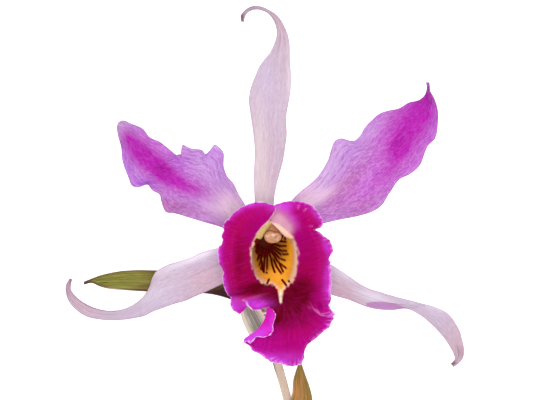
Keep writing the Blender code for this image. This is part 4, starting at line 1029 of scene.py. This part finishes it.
def add_petals():
    skin = petal_surface()
    left = Sheet((PETAL_LEFT_UPPER, PETAL_LEFT_LOWER), PETAL_LEFT_RISE, PETAL_MESH, petal_relief(11, 0.4),
                 cup=PETAL_LEFT_CUP, ruffle=PETAL_LEFT_RUFFLE, even=PETAL_EVENING,
                 notch=(NOTCH_STEEP, NOTCH_BOTTOM))
    right = Sheet((PETAL_RIGHT_UPPER, PETAL_RIGHT_LOWER), PETAL_RIGHT_RISE, PETAL_MESH,
                  petal_relief(13, 1.9), cup=PETAL_RIGHT_CUP, ruffle=PETAL_RIGHT_RUFFLE, even=PETAL_EVENING)
    for node, sheet in (("petal_left", left), ("petal_right", right)):
        fields = blade_fields(sheet, PETAL_SPOTS)
        blade_piece(node, sheet, PETAL_THICKNESS, fields, ["shade"], skin)


def ring_point(middle, radii, turn):
    """The point of a level oval round the middle at that turn."""
    return np.array(middle) + np.array([radii[0] * math.cos(turn), radii[1] * math.sin(turn), 0.0])


def lip_spokes():
    """Each spoke's ten points: root, foot, wall, neck, mouth, limb, flare, fold, roll and edge."""
    count = len(LIP_SPOKES)
    spokes = []
    for k, row in enumerate(LIP_SPOKES):
        evenly = math.pi / 2 + LIP_SEAM + (2 * math.pi - 2 * LIP_SEAM) * k / (count - 1)
        mouth = math.atan2(row[0][1] - LIP_THROAT[1], row[0][0] - LIP_THROAT[0])
        mouth += 2 * math.pi * round((evenly - mouth) / (2 * math.pi))
        turn = (evenly + mouth) / 2
        root = ring_point(LIP_ROOT, LIP_ROOT_RADII, turn)
        foot = ring_point(LIP_FOOT, LIP_FOOT_RADII, turn)
        wall = ring_point(LIP_WALL, LIP_WALL_RADII, turn)
        wall[2] += LIP_WALL_LEAN * math.sin(turn)
        own = [np.array(point) for point in row]
        neck = np.array(LIP_NECKS.get(k, tuple(wall * 0.45 + own[0] * 0.55)))
        if len(own) == 3:
            own.insert(2, (own[1] + own[2]) / 2 + np.array([0.0, 0.0, LIP_FLARE_RISE]))
        if len(own) == 4:
            flare, rim = own[2], own[3]
            own = own[:3] + [flare + (rim - flare) * 0.45, flare + (rim - flare) * 0.75, rim]
        spokes.append([root, foot, wall, neck] + own)
    return np.array(spokes)


def drawn_rim(around, ends):
    """The drawn rim round the lip: the point nearest to each spoke's end, and the line between those."""
    rim = np.zeros((len(around), 2))
    for pixel_line, first, last in LIP_RIMS:
        line = np.array(pixel_line)
        line = np.stack([line[:, 0] - CENTRE_PIXEL[0], CENTRE_PIXEL[1] - line[:, 1]], axis=1) * PIXEL
        length = run_of(line)
        places = np.linspace(0, length[-1], RIM_SAMPLES)
        dense = np.stack([np.interp(places, length, line[:, axis]) for axis in (0, 1)], axis=1)
        marks = [places[np.argmin(np.linalg.norm(dense - end, axis=1))] for end in ends[first:last + 1]]
        marks[0], marks[-1] = 0.0, length[-1]
        here = (around >= first) & (around <= last)
        spot = np.interp(around[here], np.arange(first, last + 1), np.maximum.accumulate(marks))
        rim[here] = np.stack([np.interp(spot, length, line[:, axis]) for axis in (0, 1)], axis=1)
    return rim


def lip_sheet():
    """The lip's middle surface and, at each point, its ring, its spoke and its run round the rim."""
    spokes = lip_spokes()
    around = np.linspace(0, len(spokes) - 1, (len(spokes) - 1) * LIP_AROUND + 1)
    rings = np.array([curve(np.arange(len(spokes)), ring, around) for ring in spokes.transpose(1, 0, 2)])
    outward = np.concatenate([np.linspace(k, k + 1, n, endpoint=False) for k, n in enumerate(LIP_STEPS)])
    outward = np.append(outward, len(LIP_STEPS))
    grid = np.array([curve(np.arange(len(rings)), place, outward) for place in rings.transpose(1, 0, 2)])
    grid = grid.transpose(1, 0, 2)
    out, spoke = np.meshgrid(outward - 1, around, indexing="ij")
    shift = drawn_rim(around, spokes[:, -1, :2]) - grid[-1, :, :2]
    rolled = step(*ROLL_STARTS, around) * (1 - step(*ROLL_ENDS, around))
    reach = PULL_REACH + (ROLL_PULL_REACH - PULL_REACH) * rolled
    pull = np.clip((out - LIP_EDGE + reach) / reach, 0, 1) ** 2
    grid[..., :2] += shift[None, :, :] * pull[..., None]
    length = run_of(grid[-1])
    run = np.broadcast_to(length, out.shape)
    near = np.clip((out - FRILL_FROM) / (LIP_EDGE - FRILL_FROM), 0, 1) ** 1.6
    wave = np.sin(2 * math.pi * FRILL_COUNT * run / length[-1])
    crinkle = np.sin(run * 2.3 + 1.9 * np.sin(run * 0.5))
    crinkle += 0.6 * np.sin(run * 4.9 + 2.0 * np.sin(run * 0.31))
    grid[..., 2] += FRILL_HEIGHT * near * wave * profile(FRILL_SHARE, around)
    grid[..., 2] += CRINKLE_HEIGHT * near ** 2 * crinkle
    return grid, out, spoke, run


def grown(name, out):
    """How far a paint or relief of the lip has come up at each ring, from 0 to 1."""
    return step(*LIP_FADES[name], out)


def lip_relief(out, spoke, px, py):
    """The tongue's keel, the crease of the left lobe, pleats, and the crumpled folds of the middle lobe."""
    high = LIP_RELIEF
    keel = high["keel"] * strokes(px, py, [TONGUE_LINE], 0.3, 2.4) * grown("keel", out)
    crease = high["crease"] * strokes(px, py, [CREASE_LINE], 0.4, 3.2)
    lift = high["lift"] * strokes(px, py, [RIDGE_LINE], 0.8, 3.6)
    folds = (crease + lift) * grown("fold", out)
    crumple = high["crumple"] * patches(px, py, CRUMPLE_SPOTS) * ripples(px, py, 8, 21)
    pleats = high["pleats"] * np.sin(spoke * 5.2) + high["pinches"] * np.sin(spoke * 11.7 + 1.0)
    swell = high["swell"] * ripples(px, py, 34, 23) * grown("swell", out)
    return keel + folds + crumple + pleats * grown("pleats", out) + swell


def fan(px, py, start, end, wide):
    """Lines that fan out round a short spine: the distance from it and the place round it."""
    dx, dy = end[0] - start[0], end[1] - start[1]
    length = math.hypot(dx, dy)
    along = ((px - start[0]) * dx + (py - start[1]) * dy) / length
    aside = ((px - start[0]) * dy - (py - start[1]) * dx) / length
    beside = np.clip(along, 0, length)
    turn = np.arctan2(along - beside, np.maximum(np.abs(aside), 1e-6))
    return np.stack([np.hypot(along - beside, aside), beside + wide * turn, aside * 0.05], axis=-1)


def stripe_roots():
    """The part of each long stripe that runs on into the dark heart of the throat."""
    roots = []
    for line in STRIPES:
        if math.dist(line[0], CORE_MIDDLE) < STRIPE_NEAR:
            inner = tuple(a + (b - a) * STRIPE_REACH for a, b in zip(line[0], CORE_MIDDLE))
            roots.append([inner, line[0]])
    return roots


def throat_fields(px, py, out, spoke):
    """The cream and yellow throat with its dark lines and its dark heart, which is partly painted shade; a
    pale blend beside the right crest, and a painted highlight along both crests.
    """
    down = 1 - grown("tube", out)
    deep = 1 - grown("mouth", out)
    blend = (1 - step(0.3, 5.5, line_distance(px, py, CREST_RIGHT))) * patches(px, py, BLEND_SPOTS)
    tear = CREAM_TEAR * step(*TEAR_STARTS, py) * (1 - patches(px, py, TEAR_GUARD))
    torn = px + tear * ripples(px, py, 4.5, 51), py + tear * ripples(px, py, 4.5, 52)
    cream = np.maximum(inside(*torn, CREAM_OUTLINE, 1.3), blend * step(*AWNING_STARTS, spoke))
    cream = np.maximum(cream, down)
    yellow = inside(px, py, YELLOW_OUTLINE, 2.4)
    straw = deep * inside(px, py, STRAW_OUTLINE, 1.0)
    # A painted highlight along the free edges of the two crests.
    crest_highlights = strokes(px, py, [CREST_LEFT, CREST_RIGHT], 0.0, 0.8)
    return {
        "cream": cream, "yellow": yellow * (1 - straw), "straw": straw,
        "milk": patches(px, py, MILK_SPOTS) * cream,
        "ochre": yellow * patches(px, py, OCHRE_SPOTS),
        "tongue": strokes(px, py, [TONGUE_LINE[1:]], 0.0, 1.5) * grown("tongue", out),
        "stripe": strokes(px, py, STRIPES + stripe_roots(), 0.8, 0.75) * inside(px, py, CREAM_OUTLINE, 1.5),
        "core_maroon_and_shade": np.maximum(inside(px, py, CORE_OUTLINE, 1.0) * deep, 1 - grown("foot", out)),
        "crest_highlight": STRENGTH["crest_highlight"] * crest_highlights * grown("crest_highlight", out)}


def lip_fields(px, py, out, spoke, run):
    fields = {name: patches(px, py, spots) for name, spots in LIP_SPOTS.items()}
    fields.update(throat_fields(px, py, out, spoke))
    fields["outer"] = grown("outer", out)
    fields["dusty"] = patches(px, py, DUSTY_SPOTS) * grown("dusty", out) * step(*DUSTY_STARTS, spoke)
    # Pale streaks, mostly painted highlights on folds, with frost along the right margin.
    pale_streaks_and_highlights = strokes(px, py, PALE_STREAKS, 0.0, 1.0)
    fields["pale_streaks_and_highlights"] = STRENGTH["pale_streaks_and_highlights"] * pale_streaks_and_highlights * grown("pale_streaks_and_highlights", out)
    # Along the crease of the left lobe the burgundy is laid darker: the lip's own colour with painted shade
    # in the fold.
    crease = STRENGTH["crease"] * strokes(px, py, [CREASE_LINE], 0.8, 3.0) * grown("crease", out)
    fields["burgundy"] = np.maximum(fields["burgundy"], crease)
    rolled = step(*REVERSE_STARTS, spoke) * (1 - step(*REVERSE_ENDS, spoke)) * grown("reverse", out)
    hide = np.clip(fields["cream"] + fields["yellow"], 0, 1)
    for name in ("crimson", "burgundy", "violet", "ridge_highlight"):
        fields[name] *= (1 - STRENGTH["under_roll"] * rolled) * (1 - STRENGTH["under_cream"] * hide)
    halo = STRENGTH["halo"] * inside(px, py, CREAM_OUTLINE, 3.6) * (1 - step(*HALO_ENDS, py))
    fields["violet"] = np.maximum(fields["violet"], halo)
    fields["violet"] = np.maximum(fields["violet"], patches(px, py, ROLL_VIOLET) * rolled)
    fields["reverse"] = rolled
    thread = ripples(run * 2.2, out * 0.6, 3.0, 41)
    width = profile(FRILL_WIDTH, spoke.ravel()).reshape(spoke.shape) * (0.75 + 0.45 * thread)
    fields["frill"] = step(LIP_EDGE - np.maximum(width, 0.12), LIP_EDGE, out)
    lines = STRENGTH["white"] * strokes(px, py, WHITE_LINES, 0.25, 0.9) * grown("white", out)
    fields["white"] = np.maximum(grown("rim", out) * np.clip(0.55 + 0.5 * thread, 0, 1), lines)
    fields["flow"] = fan(px, py, THROAT_TOP, THROAT_END, FAN_WIDTH)
    return fields


def add_lip():
    flat, out, spoke, run = lip_sheet()
    px, py = pixels(flat)
    flat[..., 2] += lip_relief(out, spoke, px, py)
    back = {name: np.zeros_like(out) for name in LIP_FRONT_ONLY}
    # The root ring's reverse takes the same dark heart: the lip's own maroon with painted shade.
    back["core_maroon_and_shade"] = 1 - grown("root", out)
    back["cream"] = STRENGTH["pale_back"] * (1 - grown("pale_back", out))
    thick = LIP_THICKNESS + (LIP_RIM_THICKNESS - LIP_THICKNESS) * grown("thin", out)
    sheet_piece("lip_sheet", "lip", spread(flat), thick, lip_fields(px, py, out, spoke, run), back,
                lip_surface())


def column_shape(t, a):
    wings = 1 + 0.14 * np.cos(2 * a) * step(0.2, 0.8, t)
    return wings * (1 - 0.05 * step(0.9, 1.0, t))


def column_fields(t, a, px, py):
    flush_and_shade = STRENGTH["column_tip"] * step(0.9, 1.0, t)
    # The shaft below the cap is painted dark maroon: the column's own maroon base with painted shade down
    # in the throat.
    return {"core_maroon_and_shade": 1 - step(0.80, 0.86, t), "flush_and_shade": flush_and_shade, "glint": 0 * t}


def cap_shape(t, a):
    lobes = 1 - 0.16 * np.cos(2 * a + 0.2) + 0.06 * np.sin(3 * a)
    return lobes * (1 + 0.04 * np.sin(9 * t + 2 * a))


def cap_fields(t, a, px, py):
    # The crease lines are the cap's reddish veins with painted shade in the crevices; the lower part is
    # painted darker as painted shade round the dome.
    creases = STRENGTH["cap_crease"] * strokes(px, py, CAP_CREASES, 0.1, 1.0)
    base = STRENGTH["cap_base_shade"] * (1 - step(0.35, 0.72, t))
    return {"core_maroon_and_shade": 0 * t, "flush_and_shade": np.clip(base + creases, 0, 1), "glint": patches(px, py, CAP_GLINTS)}


def ovary_shape(t, a):
    return 1 + 0.03 * np.cos(6 * a) * step(0.1, 0.4, t)


def ovary_fields(t, a, px, py):
    # The top disc, seen through the gap at the foot of the lip, is painted dark maroon as painted shade;
    # the top of the stalk is painted darker as shade under the lip.
    return {"core_maroon_and_shade": 1 - step(0.0, 0.012, t), "shade": STRENGTH["stalk_top"] * (1 - step(0.1, 0.4, t)),
            "pale": step(0.62, 0.72, t), "brown": STRENGTH["stalk_foot"] * step(0.85, 1.0, t)}


def peduncle_shape(t, a):
    return 1 + 0.03 * np.cos(5 * a + 6 * t)


def peduncle_fields(t, a, px, py):
    """A soft brown mark on each flank of the dry stalk."""
    left = STRENGTH["left_flank"] * ridge(a, 1.15, 0.42) * step(0.2, 0.42, t) * (1 - step(0.5, 0.66, t))
    right = STRENGTH["right_flank"] * ridge(a, 5.0, 0.3) * step(0.3, 0.46, t) * (1 - step(0.7, 1.0, t))
    shade = STRENGTH["dry_stalk"] + 0 * t
    return {"core_maroon_and_shade": 0 * t, "shade": shade, "pale": 0 * t, "brown": np.clip(left + right, 0, 1)}


def add_round_parts():
    parts = (
        ("column_body", "column", "column", COLUMN, COLUMN_MESH, column_shape, column_fields,
         waxy_surface("column_wax", "D69A74", "C88454", "E6B894")),
        ("anther_cap_body", "anther_cap", "column", CAP, CAP_MESH, cap_shape, cap_fields,
         waxy_surface("anther_wax", "C88E68", "A65C34", "E6BC9C")),
        ("ovary_stalk", "ovary", "pedicel", OVARY, OVARY_MESH, ovary_shape, ovary_fields,
         stalk_surface("green_stalk", "8A9A4A", "5E6A2E", "A9B868")),
        ("peduncle_stalk", "peduncle", "stem", PEDUNCLE, PEDUNCLE_MESH, peduncle_shape, peduncle_fields,
         stalk_surface("beige_stalk", "CDB8A4", "A4866C", "E0D2C2")))
    for name, node, slot, rows, mesh, shape, paint, surface in parts:
        rings, t, a, places = tube_rings(rows, mesh, shape)
        fields = paint(t, a, *pixels(unspread(rings)))
        round_x, round_y = FLOW_ROUND * np.sin(a), FLOW_ROUND * np.cos(a)
        fields["flow"] = np.stack([places[:, None] + 0 * a, round_x, round_y], axis=-1)
        tube_piece(name, node, rings, fields, surface)


def bract_piece(node, sheet, brown, pale, wedge, surface):
    fields = {"brown": brown, "pale": pale, "wedge": wedge}
    blade_piece(node, sheet, BRACT_THICKNESS, fields, [], surface)


def add_bracts():
    floral = Sheet((BRACT_UPPER, BRACT_LOWER), BRACT_RISE, BRACT_MESH, bract_relief, cup=BRACT_CUP)
    px, py = floral.px, floral.py
    rim = STRENGTH["bract_rim"] * (1 - step(0.0, 0.9, floral.rim))
    brown = np.clip(rim + patches(px, py, BRACT_BROWN), 0, 1)
    bract_piece("floral_bract", floral, brown, patches(px, py, BRACT_PALE),
                patches(px, py, BRACT_WEDGE),
                bract_surface("olive_bract", "7E7C2E", "5C551E", "9C963C", "5E3E20", 0.3))
    dry = Sheet((DRY_SHEATH_UPPER, DRY_SHEATH_LOWER), DRY_SHEATH_RISE, DRY_MESH, bract_relief, cup=DRY_CUP)
    pale = STRENGTH["dry_margin"] * (step(0.35, 0.8, dry.s) + 1 - step(-0.9, -0.35, dry.s))
    bract_piece("dry_sheath", dry, patches(dry.px, dry.py, DRY_BROWN), pale, dry.zero,
                bract_surface("dry_bract_skin", "A29C92", "5E564C", "D0CCC4", "7A6654", 0.85))
    stem = Sheet((STEM_SHEATH_UPPER, STEM_SHEATH_LOWER), STEM_SHEATH_RISE, STEM_MESH, bract_relief,
                 STEM_ROLL, STEM_CUP)
    pale = STRENGTH["stem_margin"] * (1 - step(-1.0, -0.86, stem.s)) * (1 - step(0.5, 0.8, stem.t))
    bract_piece("stem_sheath", stem, patches(stem.px, stem.py, STEM_BROWN), pale, stem.zero,
                bract_surface("brown_sheath", "84702C", "5E4A1C", "B08444", "B07A42", 0.35))


def add_floor():
    mesh = bpy.data.meshes.new("floor")
    corners = [(x, y, 0) for x, y in ((-1, -1), (1, -1), (1, 1), (-1, 1))]
    mesh.from_pydata([(x * FLOOR_HALF, y * FLOOR_HALF, z) for x, y, z in corners], [], [(0, 1, 2, 3)])
    skin = Surface("floor_paper", "FFFFFF", rough=0.9, shine=0.1)
    skin.set("Emission Color", colour("FFFFFF"))
    skin.set("Emission Strength", FLOOR_GLOW)
    mesh.materials.append(skin.finish())
    floor = bpy.data.objects.new("floor", mesh)
    floor.location.z = -FLOOR_DROP
    bpy.context.scene.collection.objects.link(floor)


def add_lamp(name, place, size, power):
    data = bpy.data.lights.new(name, "AREA")
    data.shape = "DISK"
    data.size = size
    data.energy = power
    lamp = bpy.data.objects.new(name, data)
    lamp.location = place
    way = np.array(LAMP_TARGET) - np.array(place)
    lamp.rotation_euler = (math.acos(-way[2] / np.linalg.norm(way)), 0.0, math.atan2(-way[0], way[1]))
    bpy.context.scene.collection.objects.link(lamp)


def add_light():
    world = bpy.data.worlds.new("studio")
    world.use_nodes = True
    back = world.node_tree.nodes["Background"]
    back.inputs["Color"].default_value = colour("FFFFFF")
    back.inputs["Strength"].default_value = SKY_STRENGTH
    bpy.context.scene.world = world
    for lamp in LAMPS:
        add_lamp(*lamp)
    bpy.context.scene.view_settings.view_transform = "Standard"


def add_camera():
    data = bpy.data.cameras.new("camera")
    data.sensor_width = SENSOR
    data.lens = SENSOR * EYE_HEIGHT / (PICTURE_SIZE[0] * PIXEL)
    camera = bpy.data.objects.new("camera", data)
    x = (PICTURE_SIZE[0] / 2 - CENTRE_PIXEL[0]) * PIXEL
    y = (CENTRE_PIXEL[1] - PICTURE_SIZE[1] / 2) * PIXEL
    camera.location = to_world(np.array([x, y, EYE_HEIGHT]))
    bpy.context.scene.collection.objects.link(camera)
    bpy.context.scene.camera = camera


def main():
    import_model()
    add_camera()
    add_light()
    add_floor()
    add_sepals()
    add_petals()
    add_lip()
    add_round_parts()
    add_bracts()


main()
